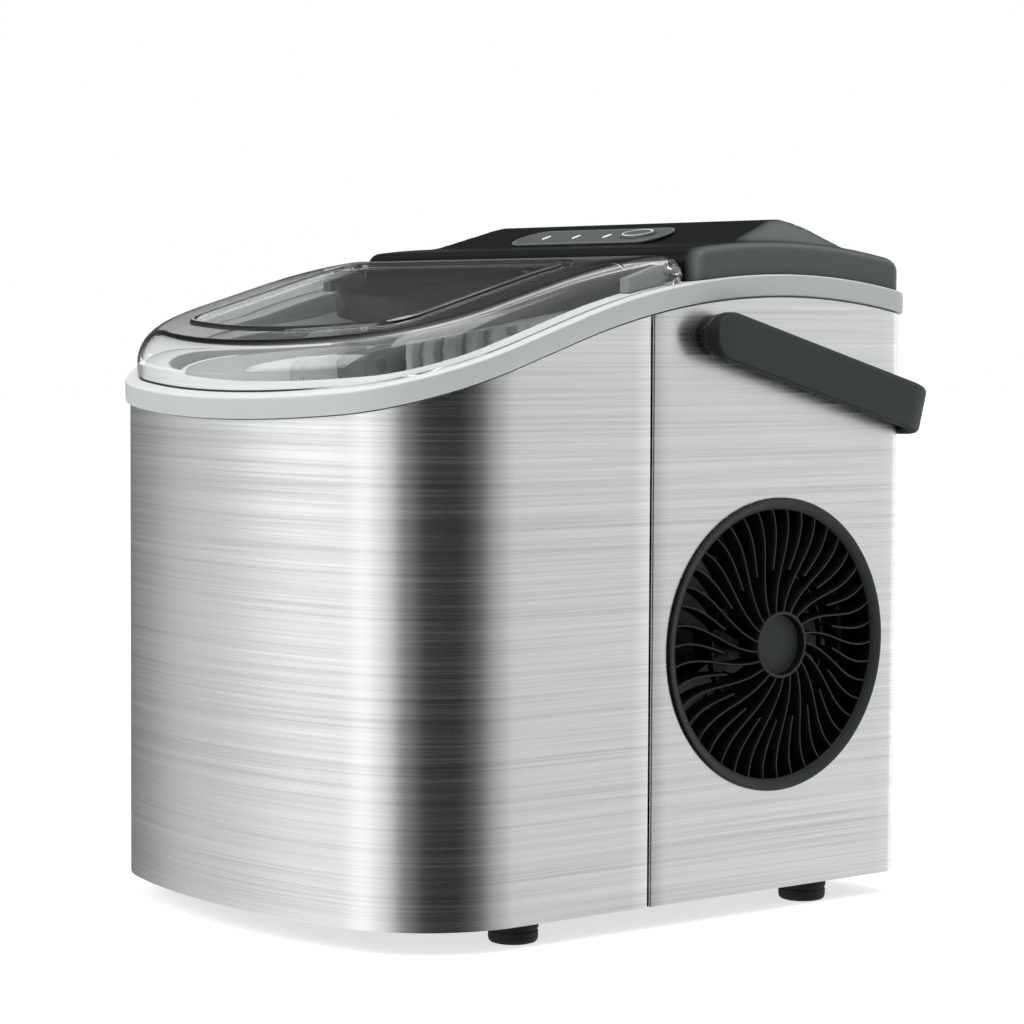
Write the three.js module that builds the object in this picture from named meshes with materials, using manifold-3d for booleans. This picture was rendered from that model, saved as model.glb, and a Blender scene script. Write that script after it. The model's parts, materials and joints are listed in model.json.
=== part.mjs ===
// Countertop bullet ice maker with a clear hinged lid, a carry handle and a side fan grille.
// Millimetres, +Z up, the front faces -Y. The origin is on the floor under the middle of the object.
import * as THREE from 'three';
import { mergeVertices } from 'three/addons/utils/BufferGeometryUtils.js';
import Module from 'manifold-3d';

const wasm = await Module();
wasm.setup();

// ---- Driving dimensions ----

const GAP = 0.3; // clearance between touching pieces

// Casing in plan: a bowed front, large front corners, small rear corners.
const HALF_WIDTH = 112;
const FRONT_RADIUS = 285;
const FRONT_CENTRE_Y = 143.5;
const CORNER_RADIUS = 54;
const CORNER_X = HALF_WIDTH - CORNER_RADIUS;
const CORNER_Y = FRONT_CENTRE_Y - Math.sqrt((FRONT_RADIUS - CORNER_RADIUS) ** 2 - CORNER_X ** 2);
const BOW_ANGLE = THREE.MathUtils.radToDeg(Math.asin(CORNER_X / (FRONT_RADIUS - CORNER_RADIUS)));
const REAR_Y = 132;
const REAR_CORNER_RADIUS = 8;
const SHEET = 1; // stainless sheet thickness
const PANEL_BOTTOM = 9.3;
const SEAM_Y = -11.1; // joint between the front wrap and the side panels
const SEAM_GAP = 1;
const REAR_WRAP_X = 100; // the side panels turn the rear corners up to here
const REAR_THICKNESS = 2;

// Trim band: its lower edge is a crown arc at the back and a straight slope towards the front.
const CROWN_RADIUS = 345;
const CROWN_Y = 62.3;
const CROWN_TOP = 252.2;
const CROWN_END_Y = -47.3;
const BAND_HEIGHT = 8.6;
const BAND_PROUD = 2;
const LEDGE_INSET = 17;
const COMPARTMENT_REAR = -8;

// Clear lid.
const LID_INSET = 3;
const LID_WALL = 2.4;
const LID_RISE = 21; // top surface above the band's lower edge at the hinge
const LID_FRONT_EXTRA = 5; // and this much more at the front of the window
const LID_AXIS = { y: 5, z: 261.8 };
const LID_REAR_RADIUS = 5.4;
const WINDOW_HALF_WIDTH = 75;
const WINDOW_FRONT = -118;
const WINDOW_REAR = -16;
const BEAD_WIDTH = 3;
const BEAD_HEIGHT = 1.6;

// Black top housing.
const HOUSING_FRONT = 12.6;
const HOUSING_INSET = 0.5;
const SHOULDER = 22.1; // above the band's lower edge
const CREST_HALF_WIDTH = 88;
const FLANK_HALF_WIDTH = 108;
const FLANK_FOOT_Z = 265;
const CREST_Z = 284;
const REAR_ROUNDING = 9;

// Control panel on the front slope of the housing.
const PANEL_Y = 54;
const PANEL_Z = 277.1;
const PANEL_TILT = 17.7;
const PANEL_SIZE = { width: 97, depth: 21, radius: 10, thickness: 0.8 };
const INDICATOR_XS = [-30.3, -10.1, 10.1];
const INDICATOR_RADIUS = { x: 1.2, y: 2.8 };
const BUTTON_X = 30.3;
const BUTTON_RADIUS = { x: 9.5, y: 5.4 };
const BUTTON_HEIGHT = 5;
const BUTTON_PROUD = 1.2;

// Fan and round side grille, both on one axis along X.
const FAN = { y: 58.3, z: 110 };
const GRILLE_RADIUS = 60;
const GRILLE_BORE = 55.2;
const GRILLE_DOME = { hub: 115.2, rim: 111.3 }; // the vanes stand further out towards the hub
const VANE_PAIRS = 21;
const VANE_TWIST = -20.5;
const HUB_RADIUS = 13.8;
const MID_RING_RADIUS = 31;
const FAN_RADIUS = 45;
const FAN_BLADES = 5;
const FAN_X = 92.5;
const SHROUD_X = [80, 100];
const SHROUD_RADIUS = 50;
const SHROUD_BORE = 47.5;

// Upright slots: air goes in on the left side and out at the back.
const SIDE_VENT = { rows: 2, columns: 9, pitch: 9, rowPitch: 46, y: 24, z: 72, width: 3.6, height: 36 };
const REAR_VENT = { columns: 11, pitch: 12, z: 150, width: 6, height: 62 };

// Carry handle, folded back.
const HANDLE_PIVOT = { y: 22.5, z: 235.7 };
const HANDLE_REST_ANGLE = -15.5;
const HANDLE_INNER_X = 117;
const HANDLE_OUTER_X = 124.6;
const HANDLE_WIDTH = 19;
const HANDLE_REACH_INNER = 117.3;
const HANDLE_REACH_OUTER = 122.3;

// Ice-making works: the water tray and the ice pusher swing on one axis.
const TRAY_AXIS = { y: -20, z: 210 };
const TRAY_RADIUS = 28;
const TRAY_HALF_WIDTH = 72;
const PUSHER_REST_ANGLE = 45;
const PUSHER_REACH = 50;
const PUSHER_HALF_WIDTH = 76.5;
const CHUTE_RADIUS = 52;
const FINGER_COUNT = 9;
const FINGER_PITCH = 15;

// Tank.
const TANK_INSET = 14.5;
const TANK_WALL = 2.5;
const TANK_BOTTOM = 58;
const TANK_LOWER_REAR = -8;
const TANK_UPPER_REAR = 20.5;
const TANK_STEP_Z = 147.5;
const SHELF_Z = 105;
const SHELF_Y = -108;

const FOOT_RADIUS = 10;
const FEET = [
  { name: 'front_right', x: 96, y: -67 },
  { name: 'front_left', x: -96, y: -67 },
  { name: 'rear_right', x: 98, y: 88 },
  { name: 'rear_left', x: -98, y: 88 },
];

// ---- Solids ----

function toSolid(geometry) {
  const bare = geometry.clone();
  bare.deleteAttribute('normal');
  bare.deleteAttribute('uv');
  const merged = mergeVertices(bare, 1e-4);
  return new wasm.Manifold(new wasm.Mesh({
    numProp: 3,
    vertProperties: new Float32Array(merged.attributes.position.array),
    triVerts: new Uint32Array(merged.index.array),
  }));
}

function toGeometry(solid) {
  const mesh = solid.getMesh();
  const geometry = new THREE.BufferGeometry();
  geometry.setAttribute('position', new THREE.BufferAttribute(mesh.vertProperties, 3));
  geometry.setIndex(new THREE.BufferAttribute(mesh.triVerts, 1));
  geometry.computeVertexNormals();
  return geometry;
}

const point = (x, y) => new THREE.Vector2(x, y);
const degrees = THREE.MathUtils.degToRad;

function extrusion(points, depth, basis) {
  const geometry = new THREE.ExtrudeGeometry(new THREE.Shape(points), { depth, bevelEnabled: false });
  geometry.applyMatrix4(basis);
  return toSolid(geometry);
}

// Prisms of a plan outline along Z, a side profile (y, z) along X, and a front profile (x, z) along Y.
function prismZ(points, z0, z1) {
  return extrusion(points, z1 - z0, new THREE.Matrix4().makeTranslation(0, 0, z0));
}

function prismX(points, x0, x1) {
  const axes = [new THREE.Vector3(0, 1, 0), new THREE.Vector3(0, 0, 1), new THREE.Vector3(1, 0, 0)];
  return extrusion(points, x1 - x0, new THREE.Matrix4().makeBasis(...axes).setPosition(x0, 0, 0));
}

function prismY(points, y0, y1) {
  const axes = [new THREE.Vector3(1, 0, 0), new THREE.Vector3(0, 0, 1), new THREE.Vector3(0, -1, 0)];
  return extrusion(points, y1 - y0, new THREE.Matrix4().makeBasis(...axes).setPosition(0, y1, 0));
}

function box(x0, x1, y0, y1, z0, z1) {
  return prismZ([point(x0, y0), point(x1, y0), point(x1, y1), point(x0, y1)], z0, z1);
}

function arcPoints(cx, cy, radius, startDegrees, endDegrees, steps) {
  return Array.from({ length: steps + 1 }, (_, i) => {
    const angle = degrees(startDegrees + ((endDegrees - startDegrees) * i) / steps);
    return point(cx + radius * Math.cos(angle), cy + radius * Math.sin(angle));
  });
}

function ellipse(cx, cy, radiusX, radiusY, steps) {
  return Array.from({ length: steps }, (_, i) => {
    const angle = (2 * Math.PI * i) / steps;
    return point(cx + radiusX * Math.cos(angle), cy + radiusY * Math.sin(angle));
  });
}

const circle = (cx, cy, radius, steps = 20) => ellipse(cx, cy, radius, radius, steps);

function roundedRectangle(cx, cy, width, height, radius, steps = 3) {
  const dx = width / 2 - radius;
  const dy = height / 2 - radius;
  return [
    ...arcPoints(cx + dx, cy + dy, radius, 0, 90, steps),
    ...arcPoints(cx - dx, cy + dy, radius, 90, 180, steps),
    ...arcPoints(cx - dx, cy - dy, radius, 180, 270, steps),
    ...arcPoints(cx + dx, cy - dy, radius, 270, 360, steps),
  ];
}

function union(solids) {
  return solids.reduce((whole, next) => whole.add(next));
}

// A closed surface through rings with the same number of points, with a fan cap at each end.
function loft(rings) {
  const count = rings[0].length;
  const positions = rings.flat().flatMap((p) => [p.x, p.y, p.z]);
  const indices = [];
  for (let ring = 0; ring < rings.length - 1; ring++) {
    for (let i = 0; i < count; i++) {
      const a = ring * count + i;
      const b = ring * count + ((i + 1) % count);
      indices.push(a, b, b + count, a, b + count, a + count);
    }
  }
  const lastStart = (rings.length - 1) * count;
  const caps = [{ start: 0, flip: true }, { start: lastStart, flip: false }];
  for (const { start, flip } of caps) {
    const ring = rings[start / count];
    const centre = ring.reduce((sum, p) => sum.add(p), new THREE.Vector3()).divideScalar(count);
    const hub = positions.length / 3;
    positions.push(centre.x, centre.y, centre.z);
    for (let i = 0; i < count; i++) {
      const a = start + i;
      const b = start + ((i + 1) % count);
      indices.push(...(flip ? [b, a, hub] : [a, b, hub]));
    }
  }
  const geometry = new THREE.BufferGeometry();
  geometry.setAttribute('position', new THREE.Float32BufferAttribute(positions, 3));
  geometry.setIndex(indices);
  return toSolid(geometry);
}

// A solid of revolution around an axis along X through (y, z); the profile is [radius, x] pairs.
function turnedX(profile, y, z, segments) {
  const lathe = new THREE.LatheGeometry(profile.map(([radius, x]) => point(radius, x)), segments);
  lathe.rotateZ(-Math.PI / 2);
  lathe.translate(0, y, z);
  return toSolid(lathe);
}

function turnedZ(profile, x, y, segments) {
  const lathe = new THREE.LatheGeometry(profile.map(([radius, z]) => point(radius, z)), segments);
  lathe.rotateX(Math.PI / 2);
  lathe.translate(x, y, 0);
  return toSolid(lathe);
}

function tube(points, radius, steps, sides = 8) {
  const path = new THREE.CatmullRomCurve3(points.map((p) => new THREE.Vector3(...p)), false, 'centripetal');
  const section = new THREE.Shape(circle(0, 0, radius, sides));
  return toSolid(new THREE.ExtrudeGeometry(section, { steps, extrudePath: path, bevelEnabled: false }));
}

// ---- Outlines shared by several pieces ----

// Lower edge of the trim band at a given y.
function bandBottom(y) {
  const arc = (at) => CROWN_TOP - CROWN_RADIUS + Math.sqrt(CROWN_RADIUS ** 2 - (at - CROWN_Y) ** 2);
  if (y >= CROWN_END_Y) return arc(y);
  const slope = (CROWN_Y - CROWN_END_Y) / Math.sqrt(CROWN_RADIUS ** 2 - (CROWN_END_Y - CROWN_Y) ** 2);
  return arc(CROWN_END_Y) - slope * (CROWN_END_Y - y);
}

// Plan outline of the casing moved inwards; the rear line can be put elsewhere.
function casingOutline(inset, rear = REAR_Y - inset, sideSteps = 1) {
  const halfWidth = HALF_WIDTH - inset;
  const rearRadius = Math.max(REAR_CORNER_RADIUS - inset, 1);
  const cornerRadius = CORNER_RADIUS - inset;
  const sideLength = rear - rearRadius - CORNER_Y;
  const side = Array.from({ length: sideSteps }, (_, i) => CORNER_Y + (sideLength * i) / sideSteps);
  return [
    ...side.map((y) => point(halfWidth, y)),
    ...arcPoints(halfWidth - rearRadius, rear - rearRadius, rearRadius, 0, 90, 3),
    ...arcPoints(rearRadius - halfWidth, rear - rearRadius, rearRadius, 90, 180, 3),
    ...side.slice(1).reverse().map((y) => point(-halfWidth, y)),
    ...arcPoints(-CORNER_X, CORNER_Y, cornerRadius, 180, 270 - BOW_ANGLE, 7),
    ...arcPoints(0, FRONT_CENTRE_Y, FRONT_RADIUS - inset, 270 - BOW_ANGLE, 270 + BOW_ANGLE, 8).slice(1, -1),
    ...arcPoints(CORNER_X, CORNER_Y, cornerRadius, 270 + BOW_ANGLE, 360, 7).slice(0, -1),
  ];
}

// Outline of a piece just inside the sheet metal, which also clears the thicker rear panel.
const innerOutline = (depth) => casingOutline(SHEET + GAP + depth, REAR_Y - REAR_THICKNESS - GAP - depth);

// Side profile between two heights above the band's lower edge.
function bandStrip(low, high, y0 = -160, y1 = 150, steps = 20) {
  const ys = Array.from({ length: steps + 1 }, (_, i) => y0 + ((y1 - y0) * i) / steps);
  const height = (value, y) => (typeof value === 'function' ? value(y) : bandBottom(y) + value);
  return [
    ...ys.map((y) => point(y, height(low, y))),
    ...ys.reverse().map((y) => point(y, height(high, y))),
  ];
}

const bandSlab = (low, high, y0, y1) => prismX(bandStrip(low, high, y0, y1), -130, 130);
const underBand = (offset) => prismX(bandStrip(() => 0, offset), -130, 130);
const ring = (outer, inner) => prismZ(outer, 0, 300).subtract(prismZ(inner, -10, 310));

// ---- Casing ----

function baseTray() {
  const block = prismZ(innerOutline(0), PANEL_BOTTOM, 24);
  return block.subtract(prismZ(innerOutline(2), PANEL_BOTTOM + 3, 30));
}

function foot({ x, y }) {
  const top = PANEL_BOTTOM - GAP;
  return turnedZ([
    [0, 0], [FOOT_RADIUS - 1.6, 0], [FOOT_RADIUS - 0.5, 1.2], [FOOT_RADIUS, top], [0, top],
  ], x, y, 20);
}

const panelSheet = () => ring(casingOutline(0), casingOutline(SHEET))
  .intersect(underBand(-GAP))
  .subtract(box(-200, 200, -200, 200, -10, PANEL_BOTTOM));

const frontWrap = () => panelSheet().intersect(box(-200, 200, -200, SEAM_Y, 0, 300));

function sidePanel(side) {
  const region = side > 0
    ? box(REAR_WRAP_X, 200, SEAM_Y + SEAM_GAP, 200, 0, 300)
    : box(-200, -REAR_WRAP_X, SEAM_Y + SEAM_GAP, 200, 0, 300);
  const handleHole = prismX(circle(HANDLE_PIVOT.y, HANDLE_PIVOT.z, 5), -130, 130);
  return panelSheet().intersect(region).subtract(handleHole);
}

const rightSidePanel = () => sidePanel(1)
  .subtract(prismX(circle(FAN.y, FAN.z, 56.8, 42), 100, 130));

// The left side draws the cooling air in through rows of upright slots.
function leftSidePanel() {
  const { rows, columns, pitch, rowPitch, y, z, width, height } = SIDE_VENT;
  const slots = [];
  for (let row = 0; row < rows; row++) {
    for (let column = 0; column < columns; column++) {
      const outline = roundedRectangle(y + column * pitch, z + row * rowPitch, width, height, 1.2, 1);
      slots.push(prismX(outline, -130, -100));
    }
  }
  return sidePanel(-1).subtract(union(slots));
}

const CORD_INLET = { x: -78, z: 38 };
const DRAIN = { x: 78, z: 38 };
const REAR_SCREWS = [[-92, 60], [92, 60], [-92, 226], [92, 226]];
const rearHole = ({ x, z }, radius) => prismY(circle(x, z, radius, 12), REAR_Y - 10, REAR_Y + 10);

function rearPanel() {
  const halfWidth = REAR_WRAP_X - GAP;
  const sheet = box(-halfWidth, halfWidth, REAR_Y - REAR_THICKNESS, REAR_Y, PANEL_BOTTOM, 300)
    .intersect(underBand(-GAP));
  const { columns, pitch, z, width, height } = REAR_VENT;
  const slots = Array.from({ length: columns }, (_, column) => {
    const x = (column - (columns - 1) / 2) * pitch;
    return prismY(roundedRectangle(x, z, width, height, 2, 2), REAR_Y - 10, REAR_Y + 10);
  });
  return sheet.subtract(union(slots))
    .subtract(rearHole(CORD_INLET, 6.3))
    .subtract(rearHole(DRAIN, 7.3))
    .subtract(union(REAR_SCREWS.map(([x, z]) => rearHole({ x, z }, 2))));
}

function rearScrew([x, z]) {
  const shank = prismY(circle(x, z, 1.7, 8), REAR_Y - 8, REAR_Y + GAP + 0.2);
  const head = prismY(circle(x, z, 3.6, 12), REAR_Y + GAP, REAR_Y + 2);
  return shank.add(head);
}

function cordInlet() {
  const flange = prismY(circle(CORD_INLET.x, CORD_INLET.z, 9, 20), REAR_Y + GAP, REAR_Y + 2.5);
  const body = prismY(circle(CORD_INLET.x, CORD_INLET.z, 6, 20), REAR_Y - 8, REAR_Y + 7);
  const bore = prismY(circle(CORD_INLET.x, CORD_INLET.z, 3.4, 16), REAR_Y - 12, REAR_Y + 12);
  return flange.add(body).subtract(bore);
}

function drainPlug() {
  const cap = prismY(circle(DRAIN.x, DRAIN.z, 10, 20), REAR_Y + GAP, REAR_Y + 4);
  const stem = prismY(circle(DRAIN.x, DRAIN.z, 4.4, 16), REAR_Y - 13, REAR_Y + 1);
  const grip = box(DRAIN.x - 7, DRAIN.x + 7, REAR_Y + 3, REAR_Y + 8, DRAIN.z - 1.5, DRAIN.z + 1.5);
  return cap.add(stem).add(grip);
}

function drainSocket() {
  const body = prismY(circle(DRAIN.x, DRAIN.z, 7, 20), REAR_Y - 22, REAR_Y - GAP);
  const bore = prismY(circle(DRAIN.x, DRAIN.z, 4.7, 16), REAR_Y - 18, REAR_Y + 5);
  const stub = prismY(circle(DRAIN.x, DRAIN.z, 3, 12), REAR_Y - 30, REAR_Y - 21);
  const flow = prismY(circle(DRAIN.x, DRAIN.z, 1.8, 10), REAR_Y - 35, REAR_Y - 15);
  return body.add(stub).subtract(bore).subtract(flow);
}

const topFrameOpening = (y0, y1, inset) => prismZ(casingOutline(inset), 100, 320)
  .intersect(box(-200, 200, y0, y1, 90, 330));

function topFrame() {
  const band = prismZ(casingOutline(-BAND_PROUD), 150, 320).intersect(bandSlab(0, BAND_HEIGHT));
  const lip = ring(innerOutline(0), innerOutline(1.5)).intersect(bandSlab(-6, 1));
  const bridgeRelief = box(-94, 94, COMPARTMENT_REAR - 1, HOUSING_FRONT - GAP, 200, 300)
    .intersect(bandSlab(BAND_HEIGHT - 3, BAND_HEIGHT + 5));
  return band.add(lip)
    .subtract(topFrameOpening(-200, COMPARTMENT_REAR, LEDGE_INSET))
    .subtract(topFrameOpening(22, 200, 12))
    .subtract(bridgeRelief);
}

// ---- Top housing and controls ----

// Height of the housing's raised middle along its centre line, front wall first.
function crownProfile(shrink) {
  const slope = new THREE.SplineCurve([
    point(17, 269.9), point(30, 271), point(45, 274.2), point(63, 279.9), point(78, CREST_Z),
    point(90, 281.3), point(100, 276), point(110, 270.6), point(117.7, 267.6), point(128.5, 264),
  ]).getPoints(18);
  return [
    point(HOUSING_FRONT + shrink, 240),
    point(REAR_Y - 1 - shrink, 240),
    point(REAR_Y - 1 - shrink, 262 - shrink),
    ...slope.reverse().map((p) => point(p.x, p.y - shrink)),
    point(HOUSING_FRONT + shrink, 268 - shrink),
  ];
}

function housingRing(inset, offset) {
  const front = HOUSING_FRONT + inset;
  const rear = REAR_Y - HOUSING_INSET - inset;
  const halfWidth = HALF_WIDTH - HOUSING_INSET - inset;
  const corner = REAR_CORNER_RADIUS;
  const centreY = (front + rear) / 2;
  const outline = roundedRectangle(0, centreY, 2 * halfWidth, rear - front, corner, 3);
  const sideYs = [1, 2, 3, 4].map((i) => front + corner + ((rear - front - 2 * corner) * i) / 5);
  outline.splice(8, 0, ...[...sideYs].reverse().map((y) => point(-halfWidth, y)));
  outline.push(...sideYs.map((y) => point(halfWidth, y)));
  return outline.map((p) => new THREE.Vector3(p.x, p.y, bandBottom(p.y) + offset));
}

// Side profile that rounds the housing's top rear edge.
function roundedRearProfile(shrink) {
  const rear = REAR_Y - HOUSING_INSET - shrink;
  const radius = REAR_ROUNDING - shrink;
  const edgeZ = bandBottom(rear - radius) + SHOULDER - shrink - radius;
  return [
    point(0, 200), point(rear, 200),
    ...arcPoints(rear - radius, edgeZ, radius, 0, 90, 6),
    point(rear - 2 * radius, 300), point(0, 300),
  ];
}

function housingBlock(shrink, base) {
  const shoulder = loft([
    housingRing(shrink, base - 4),
    housingRing(shrink, SHOULDER - 5 - shrink),
    housingRing(shrink + 1.6, SHOULDER - 1.4 - shrink),
    housingRing(shrink + 5, SHOULDER - shrink),
  ]);
  const flank = [
    point(-FLANK_HALF_WIDTH + shrink, 240), point(FLANK_HALF_WIDTH - shrink, 240),
    point(FLANK_HALF_WIDTH - shrink, FLANK_FOOT_Z), point(CREST_HALF_WIDTH - shrink, CREST_Z - shrink + 1),
    point(-CREST_HALF_WIDTH + shrink, CREST_Z - shrink + 1), point(-FLANK_HALF_WIDTH + shrink, FLANK_FOOT_Z),
  ];
  const crown = prismX(crownProfile(shrink), -FLANK_HALF_WIDTH, FLANK_HALF_WIDTH)
    .intersect(prismY(flank, 0, REAR_Y));
  return shoulder.add(crown)
    .intersect(bandSlab(base, 60))
    .intersect(prismX(roundedRearProfile(shrink), -130, 130));
}

// Puts a solid made flat around the origin onto the sloping control panel.
function onPanel(solid) {
  return solid.rotate([PANEL_TILT, 0, 0]).translate([0, PANEL_Y, PANEL_Z]);
}

const buttonOutline = (clearance) => ellipse(
  BUTTON_X, 0, BUTTON_RADIUS.x + clearance, BUTTON_RADIUS.y + clearance, 24,
);

function topHousing() {
  const outside = housingBlock(0, BAND_HEIGHT + GAP);
  const inside = housingBlock(2.5, BAND_HEIGHT - 4);
  return outside.subtract(inside).subtract(onPanel(prismZ(buttonOutline(0.4), -8, 8)));
}

const indicatorOutline = (x, clearance) => ellipse(
  x, 0, INDICATOR_RADIUS.x + clearance, INDICATOR_RADIUS.y + clearance, 12,
);

function controlOverlay() {
  const { width, depth, radius, thickness } = PANEL_SIZE;
  const plate = prismZ(roundedRectangle(0, 0, width, depth, radius, 5), GAP, GAP + thickness);
  const holes = [buttonOutline(0.4), ...INDICATOR_XS.map((x) => indicatorOutline(x, GAP))];
  return onPanel(plate.subtract(union(holes.map((outline) => prismZ(outline, -3, 5)))));
}

const indicatorLens = (x) => onPanel(prismZ(indicatorOutline(x, 0), GAP + 0.1, 1.3));
const powerButton = () => onPanel(prismZ(buttonOutline(0), GAP + BUTTON_PROUD + 0.8 - BUTTON_HEIGHT,
  GAP + BUTTON_PROUD + 0.8));

function controlBoard() {
  const board = box(-52, 52, 36, 104, 262, 263.6);
  const parts = [
    box(-40, -14, 74, 94, 263, 272),
    box(10, 30, 74, 90, 263, 271),
    box(BUTTON_X - 3, BUTTON_X + 3, 52, 58, 263, 270),
    box(-30, -20, 44, 54, 263, 266),
  ];
  return board.add(union(parts));
}

// ---- Lid ----

const lidTop = (y) => bandBottom(y) + LID_RISE
  + LID_FRONT_EXTRA * THREE.MathUtils.clamp(y / WINDOW_FRONT, 0, 1);

function lidRing(inset, drop) {
  const rear = LID_AXIS.y + LID_REAR_RADIUS - (inset - LID_INSET);
  const outline = casingOutline(inset, rear, 4);
  return outline.map((p) => new THREE.Vector3(p.x, p.y, lidTop(p.y) - drop));
}

const lidBaseRing = (inset) => lidRing(inset, 0).map((p) => p.setZ(bandBottom(p.y) + BAND_HEIGHT - 2));

// Rings from the rounded edge in to the middle of the top, so that the top follows the curve.
function lidTopRings(inset, drop) {
  const edge = lidRing(inset, drop);
  const centreY = -60;
  return [1, 0.62, 0.25].map((scale) => edge.map((p) => {
    const y = centreY + (p.y - centreY) * scale;
    return new THREE.Vector3(p.x * scale, y, lidTop(y) - drop);
  }));
}

// Rounding of the lid's edge, as distance inwards and drop below the top surface.
const EDGE_STEPS = [[0, 11], [1, 6.2], [4, 2.2]];

function windowOutline(shrink) {
  const half = WINDOW_HALF_WIDTH - shrink;
  const bow = FRONT_RADIUS - 22 - shrink;
  const bowCentre = WINDOW_FRONT + FRONT_RADIUS - 22;
  const halfAngle = THREE.MathUtils.radToDeg(Math.asin((half - 16) / bow));
  const frontCornerY = bowCentre - bow * Math.cos(degrees(halfAngle)) + 14;
  return [
    ...arcPoints(half - 8, WINDOW_REAR - shrink - 8, 8, 0, 90, 3),
    ...arcPoints(8 - half, WINDOW_REAR - shrink - 8, 8, 90, 180, 3),
    point(-half, frontCornerY + 6),
    ...arcPoints(0, bowCentre, bow, 270 - halfAngle, 270 + halfAngle, 8),
    point(half, frontCornerY + 6),
  ];
}

function windowBead() {
  const bead = prismZ(windowOutline(0), 150, 300).subtract(prismZ(windowOutline(BEAD_WIDTH), 140, 310));
  const strip = bandStrip((y) => lidTop(y) - 0.8, (y) => lidTop(y) + BEAD_HEIGHT, -150, 10);
  return bead.intersect(prismX(strip, -120, 120));
}

const KNUCKLE_X = [96, 101.5];
const KNUCKLE_RADIUS = 2.7;
const onSide = (side, x0, x1) => (side > 0 ? [x0, x1] : [-x1, -x0]);

// Room in the lid for a hinge block, through the part of the rear edge that passes under the axis.
function knucklePocket(side) {
  const span = onSide(side, KNUCKLE_X[0] - 0.5, KNUCKLE_X[1] + 0.5);
  return box(...span, LID_AXIS.y - 23, LID_AXIS.y + 12, 200, LID_AXIS.z + 1.7)
    .add(prismX(circle(LID_AXIS.y, LID_AXIS.z, KNUCKLE_RADIUS + 0.5, 12), ...span));
}

function lid() {
  const innerInset = LID_INSET + LID_WALL;
  const rings = [
    ...lidTopRings(innerInset + 11, LID_WALL).reverse(),
    ...EDGE_STEPS.map(([inset, drop]) => lidRing(innerInset + inset, drop + LID_WALL)).reverse(),
    lidBaseRing(innerInset),
    lidBaseRing(LID_INSET),
    ...EDGE_STEPS.map(([inset, drop]) => lidRing(LID_INSET + inset, drop)),
    ...lidTopRings(LID_INSET + 11, 0),
  ];
  const shell = loft(rings);
  // The rear edge is a half round about the hinge, so that it turns without lifting.
  const sweep = [
    point(-150, 150),
    point(LID_AXIS.y, 150),
    ...arcPoints(LID_AXIS.y, LID_AXIS.z, LID_REAR_RADIUS, -90, 90, 8),
    point(LID_AXIS.y, 300),
    point(-150, 300),
  ];
  const pinHoles = prismX(circle(LID_AXIS.y, LID_AXIS.z, 2.3, 10), -120, 120);
  return shell.add(windowBead())
    .intersect(prismX(sweep, -130, 130))
    .intersect(bandSlab(BAND_HEIGHT + GAP, 60))
    .subtract(union([pinHoles, knucklePocket(1), knucklePocket(-1)]));
}

// A hinge block on the ledge, inside the lid's rear corner. Nothing of it is behind the axis,
// where the lid's rear edge comes down as the lid opens.
function hingeKnuckle(side) {
  const ledge = (y) => point(y, bandBottom(y) + BAND_HEIGHT + GAP);
  const profile = [
    ledge(LID_AXIS.y - 20), ledge(LID_AXIS.y - 10), ledge(LID_AXIS.y - 1),
    ...arcPoints(LID_AXIS.y, LID_AXIS.z, KNUCKLE_RADIUS, -45, 90, 5),
    point(LID_AXIS.y - 20, LID_AXIS.z - 3.8),
  ];
  return prismX(profile, ...onSide(side, ...KNUCKLE_X))
    .subtract(prismX(circle(LID_AXIS.y, LID_AXIS.z, 2, 10), -120, 120));
}

function lidHingePin(side) {
  return prismX(circle(LID_AXIS.y, LID_AXIS.z, 1.7, 10), ...onSide(side, KNUCKLE_X[0] + 1, 108.5));
}

// ---- Side grille, fan and condenser ----

// Angle of a vane at a radius: it sweeps back from the hub and straightens near the rim.
function vaneAngle(radius, start) {
  const along = (radius - HUB_RADIUS) / (GRILLE_BORE - HUB_RADIUS);
  return degrees(start + VANE_TWIST * Math.sin(degrees(110 * along)));
}

function vane(start, innerRadius, steps) {
  const outerRadius = GRILLE_BORE + 1;
  const halfThickness = 0.7;
  const edge = (offset) => Array.from({ length: steps + 1 }, (_, i) => {
    const radius = innerRadius + ((outerRadius - innerRadius) * i) / steps;
    const angle = vaneAngle(radius, start) + offset / radius;
    return point(FAN.y + radius * Math.cos(angle), FAN.z + radius * Math.sin(angle));
  });
  return prismX([...edge(-halfThickness), ...edge(halfThickness).reverse()], 104, GRILLE_DOME.hub);
}

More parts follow.
